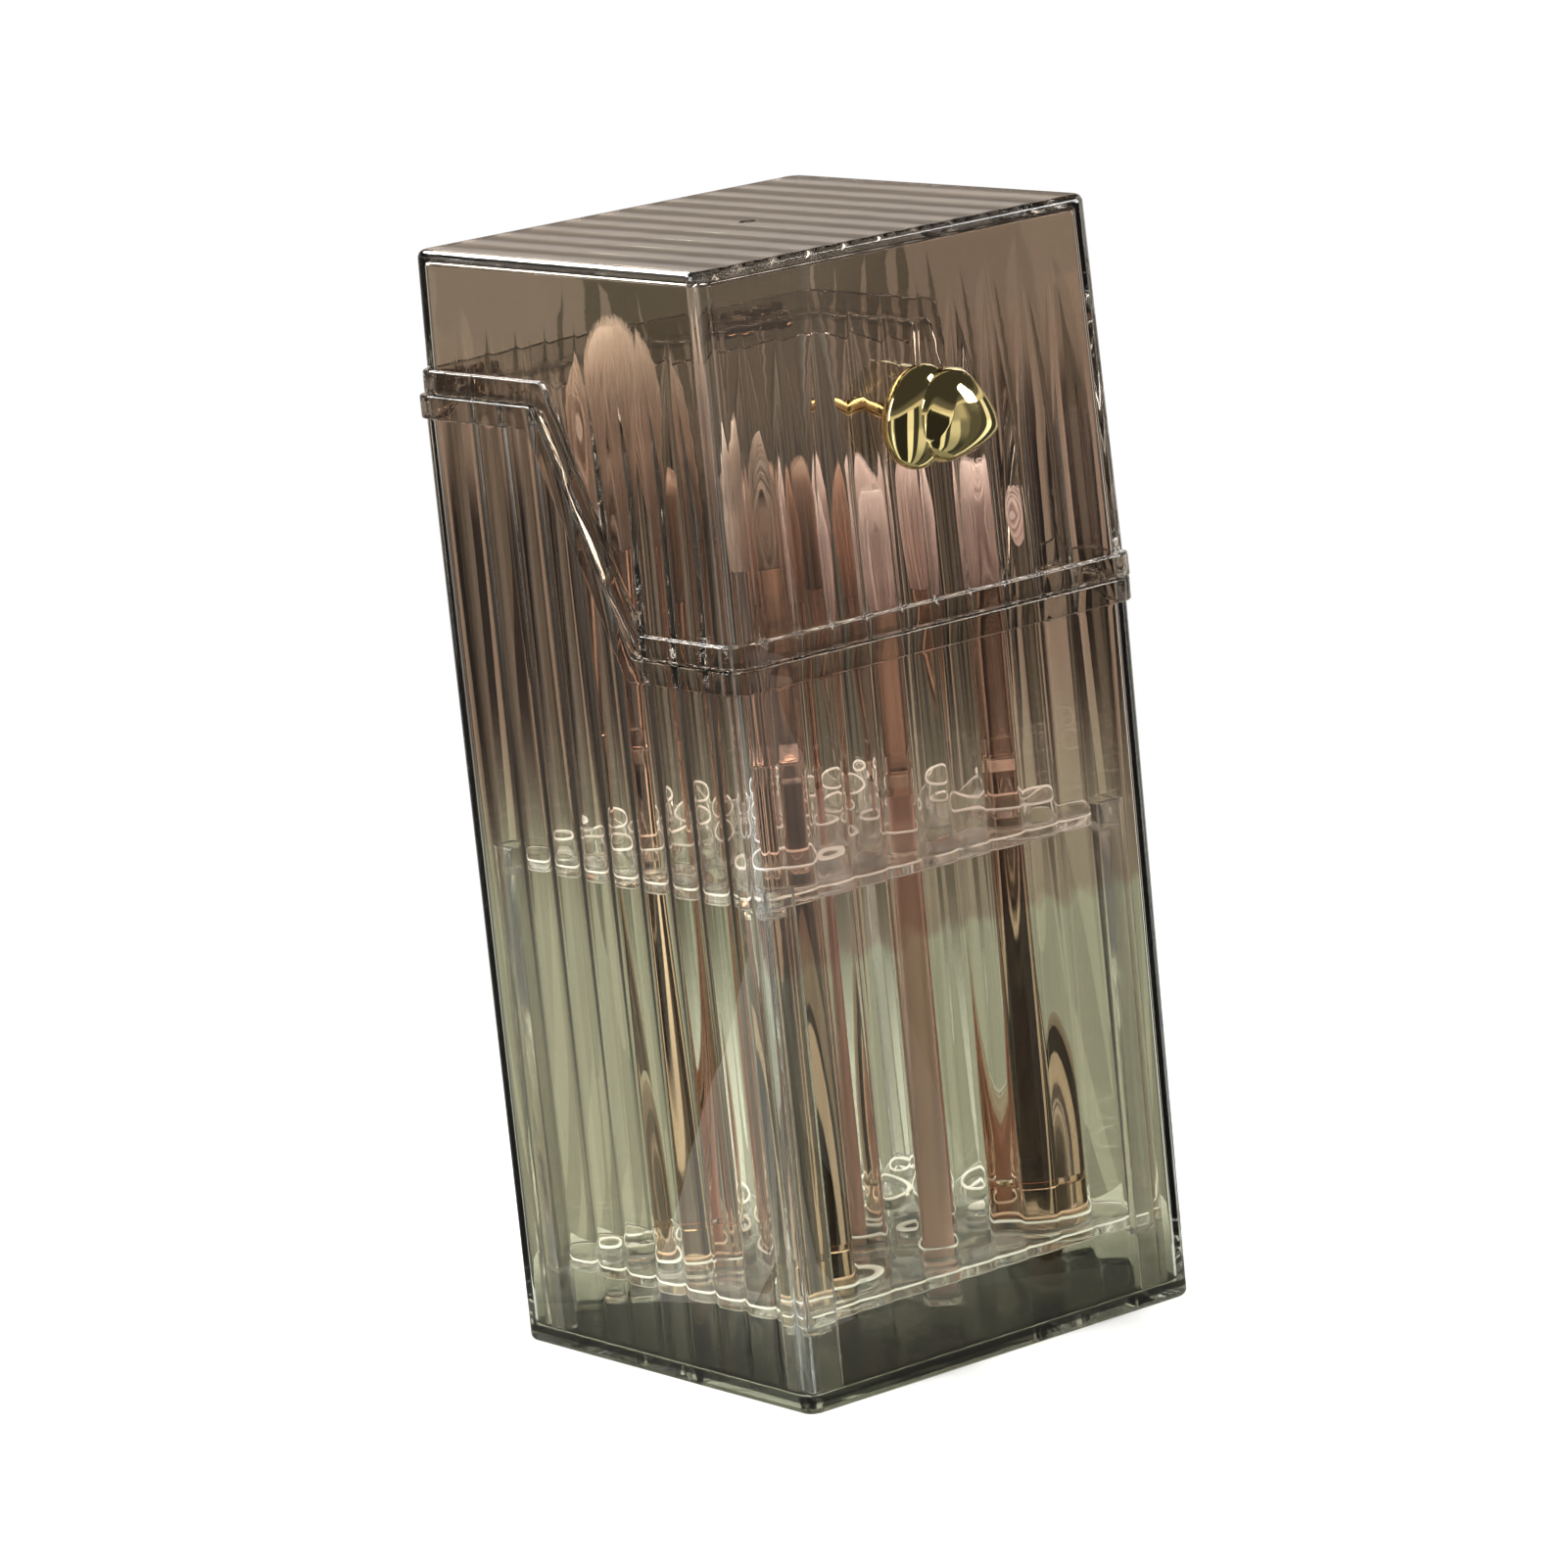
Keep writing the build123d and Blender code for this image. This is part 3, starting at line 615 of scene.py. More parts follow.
def lid_halves(shell, inward=0.0):
    return wall_halves(shell, shell.lid_draft, shell.split_front, shell.height, inward)


def wall_marks(shell):
    """Where a ring has its points, wall by wall: kind, wall, rib, and share of the way or angle."""
    marks = []
    for wall in range(4):
        ribs, steps = (shell.ribs_side, 16) if wall % 2 else (shell.ribs_front, 10)
        marks.append(("end", wall, 0, -1))
        shares = [2 * step / steps - 1 for step in range(steps + 1)]
        marks += [("rib", wall, rib, part) for rib in range(ribs) for part in shares]
        marks.append(("end", wall, 0, 1))
        marks += [("corner", wall, 0, radians(90) * step / 8) for step in range(9)]
    return marks


def shell_ring(shell, halves, radius, height, out=0.0, ribs=None):
    """One ring of points round the box.

    halves(z) gives the surface's half sizes, height(y) the ring's height, out moves it outwards, and
    ribs(z) gives the depth of the ribs and their share of the full width.
    """
    points = []
    for kind, wall, rib, part in wall_marks(shell):
        normal = Vector(((0, -1), (1, 0), (0, 1), (-1, 0))[wall])
        tangent = Vector((-normal.y, normal.x))
        side = wall % 2
        inset = 0.0
        if kind == "rib":
            pitch, number = ((shell.rib_pitch_side, shell.ribs_side) if side
                             else (shell.rib_pitch_front, shell.ribs_front))
            centre = (rib - (number - 1) / 2) * pitch
            reach = part * ((pitch - shell.groove) / 2)
            along = centre + reach
            for _ in range(6 if ribs else 1):
                z = height(tangent.y * along if side else normal.y * shell.half_depth)
                if ribs:
                    depth, width = ribs(z)
                    along = centre + reach * width
                    inset = depth * (1 - part ** 2)
        elif kind == "end":
            along = part * ((shell.half_depth if side else shell.half_width) - 5.4 * MM)
            z = height(tangent.y * along if side else normal.y * shell.half_depth)
        else:
            z = height(normal.y * shell.half_depth + tangent.y * shell.half_depth)
        half_x, half_y = halves(z)
        across, down = (half_x, half_y) if side else (half_y, half_x)
        if kind == "corner":
            arm = normal * cos(part) + tangent * sin(part)
            point = normal * (across - radius) + tangent * (down - radius) + arm * (radius + out)
        else:
            point = normal * (across + out - inset) + tangent * along
        points.append((point.x, point.y, z))
    return points


class Skin:
    """The rings that a shell's surface runs through, and the material of each band up to its ring."""

    def __init__(self, shell, halves, ribs):
        self.shell, self.ribs = shell, ribs
        self.outer, self.inner = halves(shell), halves(shell, shell.wall)
        self.rings, self.slots = [], []

    def outside(self, height, out=0.0, slot=0):
        self.rings.append(shell_ring(self.shell, self.outer, self.shell.corner, height, out))
        self.slots.append(slot)

    def inside(self, height, ribs, out=0.0, slot=0):
        self.rings.append(shell_ring(self.shell, self.inner, self.shell.inner_corner, height, out, ribs))
        self.slots.append(slot)

    def rim(self, way):
        """The rounded rim above or below the split, and its lip. Returns the offset where the lip ends."""
        shell, edge = self.shell, self.shell.rim_edge
        near, far = way * shell.gap / 2, way * shell.rim
        outline = [(0, far + way * 2 * edge), (0, far), (shell.rim_out, far), (shell.rim_out, near),
                   (shell.rim_out - 3 * edge, near)]
        for out, offset in soft_corners(outline, (edge / 2, edge, edge)):
            self.outside(beside_split(shell, offset), out, 1 if way * offset < shell.rim else 0)
        end = near + way * 3 * edge
        for out, offset in soft_corners([(3 * edge, near), (0, near), (0, end)], (edge * 0.75,)):
            self.inside(beside_split(shell, offset), self.ribs, out, 1)
        return end

    def lofted(self):
        """The skin's bmesh, with the edges of its first and last ring."""
        bm = bmesh.new()
        return (bm, *loft(bm, self.rings, self.slots[1:]))


def knuckle(bm, shell, index, side):
    """One hinge knuckle with its web to the rim. Odd ones belong to the lid."""
    half, rounded, bore = KNUCKLE_LENGTH / 2, 0.4 * MM, LID_BORE if index % 2 else CASE_BORE
    centre_x = side * HINGE_X + (index - 1) * KNUCKLE_PITCH
    rim_y = shell.half_depth + shell.rim_out
    outline = [(bore, rounded - half), (bore, -half), (KNUCKLE_RADIUS, -half), (KNUCKLE_RADIUS, half),
               (bore, half), (bore, half - rounded)]
    profile = soft_corners(outline, (0, rounded, rounded, 0))
    place = Matrix.Translation((centre_x, rim_y + HINGE_OUT, shell.split_rear))
    turn(bm, profile + [profile[0]], place @ Matrix.Rotation(radians(90), 4, "Y"), 32)
    up = 1 if index % 2 else -1
    low, high = sorted((shell.split_rear + up * 1.2 * MM, shell.split_rear + up * KNUCKLE_RADIUS * 0.97))
    block(bm, (centre_x - half + 0.1 * MM, rim_y - 0.3 * MM, low),
          (centre_x + half - 0.1 * MM, rim_y + HINGE_OUT - 0.6 * MM, high), 0.25 * MM)


def build_case(shell):
    """The case's skin, ring by ring: underside, base edge, outer wall, rim, inner wall, floor."""
    def ribs(z):
        climb = (z - shell.floor) / (shell.split_rear - shell.floor)
        return shell.rib_depth_floor + (shell.rib_depth - shell.rib_depth_floor) * climb, 1.0

    skin = Skin(shell, case_halves, ribs)
    for s, c in quarter(5):
        skin.outside(level(shell.base_edge * (1 - c)), shell.base_edge * (s - 1))
    for z in (8, 40, 80, 115):
        skin.outside(level(z * MM))
    lip_end = skin.rim(-1)
    for part in (0.12, 0.3, 0.5, 0.7, 0.85, 1.0):
        skin.inside(between(shell, lip_end, shell.floor + 1.4 * MM, part), ribs)
    foot = 1.2 * MM
    for step, (s, c) in enumerate(quarter(5, 1)):
        fading = level((shell.rib_depth_floor * c, 1.0))
        skin.inside(level(shell.floor + foot * (1 - s)), fading, -foot * (1 - c), 2 if step > 1 else 0)
    bm, first, last = skin.lofted()
    cap(bm, first)
    for face in cap(bm, last):
        face.material_index = 2
    for side in (-1, 1):
        for index in (0, 2):
            knuckle(bm, shell, index, side)
    return bm


def build_lid(shell):
    """The lid's skin, ring by ring: top, top edge, outer wall, rim, inner wall, ribbed ceiling."""
    def ribs(z):
        left = 1.9 * ((shell.lid_ribs_end - z) / (shell.lid_ribs_end - shell.split_front))
        return shell.rib_depth * min(1.0, max(0.0, left)) ** 2, min(1.0, max(0.08, left))

    skin = Skin(shell, lid_halves, ribs)
    skin.outside(level(shell.height), -shell.top_edge - 0.4 * MM)
    for s, c in quarter(6):
        skin.outside(level(shell.height - shell.top_edge * (1 - c)), shell.top_edge * (s - 1))
    for z in (219, 212, 206):
        skin.outside(level(z * MM))
    lip_end, tips = skin.rim(1), shell.lid_ribs_end + 0.2 * MM
    for part in (0.15, 0.3, 0.45, 0.55, 0.64, 0.72, 0.79, 0.85, 0.9, 0.94, 0.97, 1.0):
        skin.inside(between(shell, lip_end, tips, part), ribs)
    ceiling, bend = shell.height - shell.top, 1.0 * MM
    skin.inside(level((tips + ceiling) / 2), None)
    for s, c in quarter(5):
        skin.inside(level(ceiling - bend * (1 - s)), None, -bend * (1 - c))
    # The last ring carries the ends of the ceiling's ribs, which run from front to rear
    marks = wall_marks(shell)
    for index, (kind, wall, _, part) in enumerate(marks):
        if kind == "rib" and wall in (0, 2):
            x, y, z = skin.rings[-1][index]
            skin.rings[-1][index] = (x, y, z - shell.top_rib * (1 - part ** 2))
    bm, first, last = skin.lofted()
    ordered = [next(vert for vert in edge.verts if vert not in following.verts)
               for edge, following in zip(last, last[1:] + last[:1])]
    chain = [index for index, mark in enumerate(marks) if mark[:2] == ("corner", 3)]
    chain += [index for index, mark in enumerate(marks) if mark[1] == 0]
    front = [bm.edges.get((ordered[a], ordered[b])) for a, b in zip(chain, chain[1:])]
    for vert in picked(bmesh.ops.extrude_edge_only(bm, edges=front)["geom"], VERT):
        vert.co.y = -vert.co.y
    bmesh.ops.remove_doubles(bm, verts=bm.verts, dist=1e-6)
    open_low = [edge for edge in bm.edges if edge.is_boundary and edge.verts[0].co.z < ceiling + 0.5 * MM]
    bmesh.ops.holes_fill(bm, edges=open_low, sides=0)
    # The flat top closes round the moulding mark
    turn(bm, scaled(GATE_MARK, shell.height), None, 24)
    bmesh.ops.remove_doubles(bm, verts=bm.verts, dist=1e-7)
    near_top = shell.height - 0.5 * MM
    open_high = [edge for edge in bm.edges
                 if edge.is_boundary and all(vert.co.z > near_top for vert in edge.verts)]
    bmesh.ops.triangle_fill(bm, edges=open_high, use_beauty=True, normal=(0, 0, 1))
    for side in (-1, 1):
        knuckle(bm, shell, 1, side)
    return bm


class BRUSHBOX_OT_shells(bpy.types.Operator):
    """Build the clear case and lid with their rims, ribs and hinge knuckles"""

    bl_idname = "brush_box.shells"
    bl_label = "Case and lid"

    def execute(self, context):
        shell = context.scene.brush_box_shell
        plastics = [kept("clear_shell", clear_shell), kept("rim_plastic", rim_plastic),
                    kept("floor_plastic", floor_plastic)]
        make_piece(build_case(shell), "fluted_case", "case", "clear_case", plastics, "case", shadow=False)
        make_piece(build_lid(shell), "fluted_lid", "lid", "clear_lid", plastics[:2], "lid", shadow=False)
        return {"FINISHED"}


class BRUSHBOX_OT_pins(bpy.types.Operator):
    """Build the two steel hinge pins"""

    bl_idname = "brush_box.pins"
    bl_label = "Hinge pins"

    def execute(self, context):
        shell = context.scene.brush_box_shell
        steel = kept("plain_steel", polished((0.70, 0.70, 0.70), 0.18))
        for name, side in (("left", -1), ("right", 1)):
            place = Matrix.Translation((side * HINGE_X, shell.half_depth + shell.rim_out + HINGE_OUT,
                                        shell.split_rear)) @ Matrix.Rotation(side * radians(90), 4, "Y")
            make_piece(turned(scaled(PIN), place, 32), f"pin_{name}", "case", "steel_pin", [steel],
                       f"hinge_pin_{name}")
        return {"FINISHED"}


# Knob

KNOB_X, KNOB_Z, KNOB_TILT = 1.1 * MM, 189.4 * MM, radians(21)


def bean_ring(rise):
    """One level ring of the knob's front lobe. A leaf-shaped flat lies left of its middle."""
    height = 0.45 + 9.35 * rise
    fullness, pointed = sqrt(1 - rise ** 2), (1 - abs(rise) ** 1.5) ** 0.85
    centre, left, right, depth = Vector((1.0, -7.2, height)), 9.5 * fullness, 11.8 * pointed, 6.8 * fullness

    def at(angle):
        boxy = 2 / 2.6 if cos(angle) < 0 else 1.0
        across = (right if cos(angle) > 0 else left) * abs(cos(angle)) ** boxy
        out = depth * abs(sin(angle)) ** boxy
        return centre + Vector((across if cos(angle) > 0 else -across, out if sin(angle) > 0 else -out, 0))

    def angle_at(x):
        part = min(0.985, max(0.0, (1.0 - x) / left))
        return -pi + acos(part ** 1.3)

    leaf = 2.25 * max(0.0, 1 - ((height - 0.8) / 7.3) ** 2)
    middle = -5.15 + 0.042 * max(0.0, height) ** 2
    first, last = angle_at(middle - leaf), angle_at(middle + leaf)
    points = [at(first).lerp(at(last), step / 8) for step in range(8)]
    points += [at(last + (2 * pi + first - last) * step / 64) for step in range(64)]
    return [point * MM for point in points]


def build_knob(shell):
    """A round rear lobe and a pointed front lobe with a leaf-shaped flat, on a short neck."""
    bm = bmesh.new()
    rings = [bean_ring(-cos(radians(2 + 176 * step / 56))) for step in range(57)]
    for ends in loft(bm, rings):
        cap(bm, ends)
    bmesh.ops.remove_doubles(bm, verts=bm.verts, dist=1e-6)
    soften(bm, [edge for edge in bm.edges if edge.calc_face_angle(0.0) > radians(10)], 0.12 * MM)
    size = Matrix.Diagonal(Vector((8.3, 4.6, 10.3, 1 / MM)) * MM)
    bmesh.ops.create_uvsphere(bm, u_segments=72, v_segments=48, radius=1.0,
                              matrix=Matrix.Translation(Vector((-5.0, -6.0, -1.1)) * MM) @ size)
    turn(bm, scaled([(0, 0.1), (4, 0.1), (4, 5), (0, 5)]), Matrix.Rotation(radians(90), 4, "X"))
    place = Matrix.Translation((KNOB_X, -lid_halves(shell)(KNOB_Z)[1], KNOB_Z))
    bmesh.ops.transform(bm, matrix=place @ Matrix.Rotation(KNOB_TILT, 4, "Y"), verts=bm.verts)
    return bm


class BRUSHBOX_OT_knob(bpy.types.Operator):
    """Build the gold knob, its stud, washer and nut"""

    bl_idname = "brush_box.knob"
    bl_label = "Knob"

    def execute(self, context):
        gold = kept("plated_gold", polished(context.scene.brush_box_finish.gold, 0.03))
        bm = build_knob(context.scene.brush_box_shell)
        make_piece(bm, "lobed_knob", "lid", "gold", [gold], "knob", sharp=60)
        for node in ("knob_stud", "knob_washer", "knob_nut"):
            bm = bmesh.new()
            bm.from_mesh(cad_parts[node].data)
            if not bm.verts:
                raise RuntimeError(f"{node} has no mesh")
            make_piece(bm, f"gold_{node[5:]}", "lid", "gold", [gold], node, sharp=30)
        return {"FINISHED"}


# Rack

# Middles of the trays' holes, in millimetres
WIDE_HOLES = ((-28, -27), (28, -27), (-28, 9), (0, 9), (28, 9), (-14, 28), (14, 28))
SLIM_HOLES = ((0, -27), (-17, -9), (0, -9), (17, -9), (-33, 28), (33, 28))


def rounded_outline(half_x, half_y, radius, z):
    """A level rectangle with rounded corners."""
    points = []
    for number, (side_x, side_y) in enumerate(((1, 1), (-1, 1), (-1, -1), (1, -1))):
        for step in range(7):
            angle = radians(90) * (number + step / 6)
            points.append((side_x * (half_x - radius) + radius * cos(angle),
                           side_y * (half_y - radius) + radius * sin(angle), z))
    return points


def build_tray(rack, top, collar, closed):
    """A flat plate with a raised collar round each hole; slim holes may end in closed cups."""
    bm = bmesh.new()
    under, edge = top - rack.thickness, rack.edge
    half_x = rack.half_x - rack.post - rack.post_gap
    half_y = rack.half_y - rack.post - rack.post_gap
    path = soft_corners([(-3 * edge, top), (0, top), (0, under), (-3 * edge, under)], (edge, edge))
    loft(bm, [rounded_outline(half_x + out, half_y + out, rack.corner + out, z) for out, z in path])
    for bore, holes, steps in ((rack.wide, WIDE_HOLES, 56), (rack.slim, SLIM_HOLES, 40)):
        outer, lip = bore + rack.collar, top + collar
        rim = [(outer + edge, top), (outer, top), (outer, lip), (bore, lip)]
        if closed and holes is SLIM_HOLES:
            low, floor = top - rack.cup_depth, top - rack.cup_depth + rack.cup_floor
            paths = ((rim + [(bore, floor), (0, floor)], (edge, edge, edge, 2 * edge)),
                     ([(outer + edge, under), (outer, under), (outer, low), (0, low)], (edge, 2 * edge)))
        else:
            paths = ((rim + [(bore, under), (bore + 2 * edge, under)], (edge, edge, edge, edge)),)
        for x, y in holes:
            for points, radii in paths:
                turn(bm, soft_corners(points, radii), Matrix.Translation((x * MM, y * MM, 0)), steps)
    bmesh.ops.remove_doubles(bm, verts=bm.verts, dist=1e-7)
    for z in (top, under):
        rims = [item for item in bm.edges
                if item.is_boundary and all(abs(vert.co.z - z) < edge / 4 for vert in item.verts)]
        bmesh.ops.triangle_fill(bm, edges=rims, use_beauty=True, normal=(0, 0, 1))
    for face in bm.faces:
        middle = face.calc_center_median()
        at_rim = abs(middle.x) > half_x - edge or abs(middle.y) > half_y - edge
        bright = at_rim and not under + edge < middle.z < top - edge
        face.material_index = 1 if bright or middle.z > top + collar - edge else 0
    return bm


def build_post(rack, shell, side_x, side_y):
    """An angle post with a ledge under each tray's corner."""
    bm = bmesh.new()
    leg, thick = rack.leg, rack.post
    corner = Vector((side_x * rack.half_x, side_y * rack.half_y))
    outline = [(0, 0), (leg, 0), (leg, thick), (thick, thick), (thick, leg), (0, leg)]
    verts = [bm.verts.new((corner.x - side_x * a, corner.y - side_y * b, shell.floor)) for a, b in outline]
    for vert in picked(bmesh.ops.extrude_face_region(bm, geom=[bm.faces.new(verts)])["geom"], VERT):
        vert.co.z = rack.upper_top + rack.post_above
    bmesh.ops.recalc_face_normals(bm, faces=bm.faces)
    soften(bm, list(bm.edges), 0.3 * MM)
    ledge = (thick - 0.1 * MM, thick + rack.ledge)
    (left, right), (front, rear) = [sorted(middle - side * reach for reach in ledge)
                                    for middle, side in zip(corner, (side_x, side_y))]
    for tray_top in (rack.lower_top, rack.upper_top):
        z = tray_top - rack.thickness
        block(bm, (left, front, z - 1.6 * MM), (right, rear, z), 0.3 * MM)
    return bm


class BRUSHBOX_OT_rack(bpy.types.Operator):
    """Build the rack: two pierced trays on four angle posts"""

    bl_idname = "brush_box.rack"
    bl_label = "Rack"

    def execute(self, context):
        rack, shell = context.scene.brush_box_rack, context.scene.brush_box_shell
        plastics = [kept("rack_plastic", rack_plastic), kept("frosted_edge", frosted_edge)]
        for name, top, collar, closed in (("upper", rack.upper_top, rack.upper_collar, False),
                                          ("lower", rack.lower_top, rack.lower_collar, True)):
            make_piece(build_tray(rack, top, collar, closed), f"pierced_{name}_tray", "rack", "clear_rack",
                       plastics, f"rack_{name}_tray", shadow=False)
        for row, side_y in (("front", -1), ("rear", 1)):
            for side, side_x in (("left", -1), ("right", 1)):
                make_piece(build_post(rack, shell, side_x, side_y), f"angle_post_{row}_{side}", "rack",
                           "clear_rack", plastics[:1], f"rack_post_{row}_{side}", shadow=False)
        return {"FINISHED"}


# Brushes

# In millimetres. A head swells from the ferrule's mouth to the belly, at a share of its height, and draws in
# to the tip's share of the belly. Only fat handles have a fullness
Brush = namedtuple("Brush", "hole fullness handle_top ferrule_top mouth height hairs belly tip dome "
                            "belly_at root_colour tip_colour slot")
BRUSHES = {
    "powder": Brush((-28, 9), 0.98, 120, 165, (6.6, 6.6), 47, 1.0, (10.4, 10.4), 0.74, 0.30, 0.55,
                    (0.44, 0.30, 0.21), (0.78, 0.64, 0.53), "hair_tan"),
    "highlighter": Brush((-28, -27), 0.82, 120, 163, (3.9, 3.9), 32, 0.45, (4.6, 4.6), 0.30, 0.52, 0.40,
                         (0.62, 0.45, 0.34), (0.90, 0.82, 0.72), "hair_cream"),
    "blush": Brush((28, -27), 1.0, 110, 148, (4.6, 4.6), 28, 0.55, (6.4, 6.4), 0.76, 0.26, 0.55,
                   (0.88, 0.68, 0.63), (0.98, 0.88, 0.86), "hair_pink"),
    "foundation": Brush((0, 9), 0.96, 112, 150, (6.6, 6.6), 26, 0.8, (8.2, 8.2), 0.97, 0.06, 0.5,
                        (0.30, 0.17, 0.10), (0.52, 0.36, 0.26), "hair_brown"),
    "contour": Brush((-14, 28), 0.94, 118, 158, (5.6, 5.6), 40, 0.7, (8.0, 8.0), 0.72, 0.30, 0.55,
                     (0.42, 0.26, 0.16), (0.72, 0.55, 0.42), "hair_tan"),
    "eyeshadow": Brush((0, -27), None, 112, 148, (4.0, 3.2), 27, 0.45, (5.8, 4.2), 0.74, 0.28, 0.5,
                       (0.90, 0.70, 0.65), (1.0, 0.90, 0.88), "hair_pink"),
    "cheek": Brush((17, -9), None, 112, 148, (6.4, 3.2), 29, 0.6, (9.2, 4.4), 0.88, 0.20, 0.5,
                   (0.90, 0.68, 0.62), (0.98, 0.88, 0.85), "hair_pink"),
    "blending": Brush((0, -9), None, 112, 150, (3.2, 3.2), 28, 0.35, (4.4, 4.4), 0.60, 0.36, 0.5,
                      (0.42, 0.20, 0.11), (0.66, 0.42, 0.30), "hair_copper"),
    "detail": Brush((-17, -9), None, 118, 157, (2.8, 2.8), 28, 0.3, (3.6, 3.6), 0.40, 0.48, 0.42,
                    (0.60, 0.42, 0.32), (0.90, 0.80, 0.70), "hair_cream"),
}


def smooth_share(t):
    """Starts and ends level, from 0 to 1."""
    return t * t * (3 - 2 * t)


def foot_of(brush, scene):
    """Height of a brush's lowest point: on the case's floor, or in one of the lower tray's cups."""
    rack = scene.brush_box_rack
    cup = rack.lower_top - rack.cup_depth + rack.cup_floor
    return (scene.brush_box_shell.floor if brush.fullness else cup) + scene.brush_box_brushes.seat


def fat_end(sizes, fullness):
    """The pointed end piece below the dark ring, with its spigot."""
    body = sizes.fat * fullness
    cone = Vector((body * sizes.cone_share, sizes.cone_height))
    slope = (cone - Vector((sizes.tip, 0))).normalized()
    profile = [(0, 0), (sizes.tip * 0.7, 0), (sizes.tip, 0.25 * MM), tuple(cone)]
    rise = sizes.barrel - sizes.cone_height
    for step in range(1, 9):
        t = step / 8
        lean = slope.x / slope.y * rise
        radius = (2 * t ** 3 - 3 * t ** 2 + 1) * cone.x + (t ** 3 - 2 * t ** 2 + t) * lean
        radius += (3 * t ** 2 - 2 * t ** 3) * body
        profile.append((radius, sizes.cone_height + rise * t))
    top, deep, soft, spigot = sizes.end_height, body - sizes.ring_depth, 0.15 * MM, 3 * MM
    low, spigot_top = top - sizes.ring_width, top + 5.5 * MM
    return profile + [(body, low - soft), (body - soft, low), (deep, low), (deep, top), (spigot, top),
                      (spigot, spigot_top), (0, spigot_top)]


def fat_handle(sizes, fullness, tall):
    """From the dark ring up: full at the bottom, then one long curve in to the neck and the tenon."""
    body, low, soft, spigot = sizes.fat * fullness, sizes.end_height, 0.15 * MM, 3 * MM
    ring_top = low + sizes.ring_width
    profile = [(0, low + 6 * MM), (spigot, low + 6 * MM), (spigot, low), (body - sizes.ring_depth, low),
               (body - sizes.ring_depth, ring_top), (body - soft, ring_top), (body, ring_top + soft)]
    start, end = sizes.full_share, sizes.neck_share
    for step in range(25):
        t = step / 24
        radius = body + (sizes.neck - body) * smooth_share(t)
        profile.append((radius, ring_top + (tall - ring_top) * (start + (end - start) * t)))
    core = sizes.neck - sizes.ferrule_wall
    return profile + [(sizes.neck, tall), (core, tall), (core, tall + sizes.tenon), (0, tall + sizes.tenon)]


def slim_handle(sizes, tall):
    """A thin stick with a tapered foot and a tenon."""
    core = sizes.slim_neck - sizes.ferrule_wall
    outline = [(0, 0), (sizes.slim * 0.6, 0), (sizes.slim, sizes.slim_foot), (sizes.slim, tall / 2),
               (sizes.slim_neck, tall), (core, tall), (core, tall + sizes.tenon), (0, tall + sizes.tenon)]
    return soft_corners(outline, (0.3 * MM, 1.0 * MM, 0, 0, 0, 0.3 * MM))


def oval(centre, half_x, half_y, z, steps):
    """A level ring of points."""
    angles = [2 * pi * step / steps for step in range(steps)]
    return [(centre[0] + half_x * cos(angle), centre[1] + half_y * sin(angle), z) for angle in angles]


def build_ferrule(sizes, centre, neck, mouth, bottom, top):
    """A thin metal tube: round on the handle, beaded and crimped, and opening to the bristles' outline."""
    straight = bottom + sizes.tenon
    bead = bottom + sizes.tenon / 2
    rows = [(neck, neck, bottom)]
    for step in range(9):
        t = step / 8
        swell = sizes.bead * sin(pi * t)
        rows.append((neck + swell, neck + swell, bead + sizes.bead_width * (t - 0.5)))
    for crimp in (bottom + 1.4 * MM, straight - 0.9 * MM):
        for offset, depth in ((-0.4, 0), (-0.15, 0.16), (0.15, 0.16), (0.4, 0)):
            rows.append((neck - depth * MM, neck - depth * MM, crimp + offset * MM))
    rows.append((neck, neck, straight))
    rows.sort(key=lambda row: row[2])
    for step in range(1, 13):
        t = step / 12
        half_x, half_y = [neck + (half - neck) * t for half in mouth]
        rows.append((half_x, half_y, straight + (top - straight) * t))
    wall = sizes.ferrule_wall
    inner = [(half_x - wall, half_y - wall, z) for half_x, half_y, z in reversed(rows[-12:])]
    bore = neck - wall + 0.02 * MM
    inner += [(bore, bore, straight), (bore, bore, bottom)]
    bm = bmesh.new()
    first, last = loft(bm, [oval(centre, half_x, half_y, z, 56) for half_x, half_y, z in rows + inner])
    bmesh.ops.bridge_loops(bm, edges=first + last)
    return bm


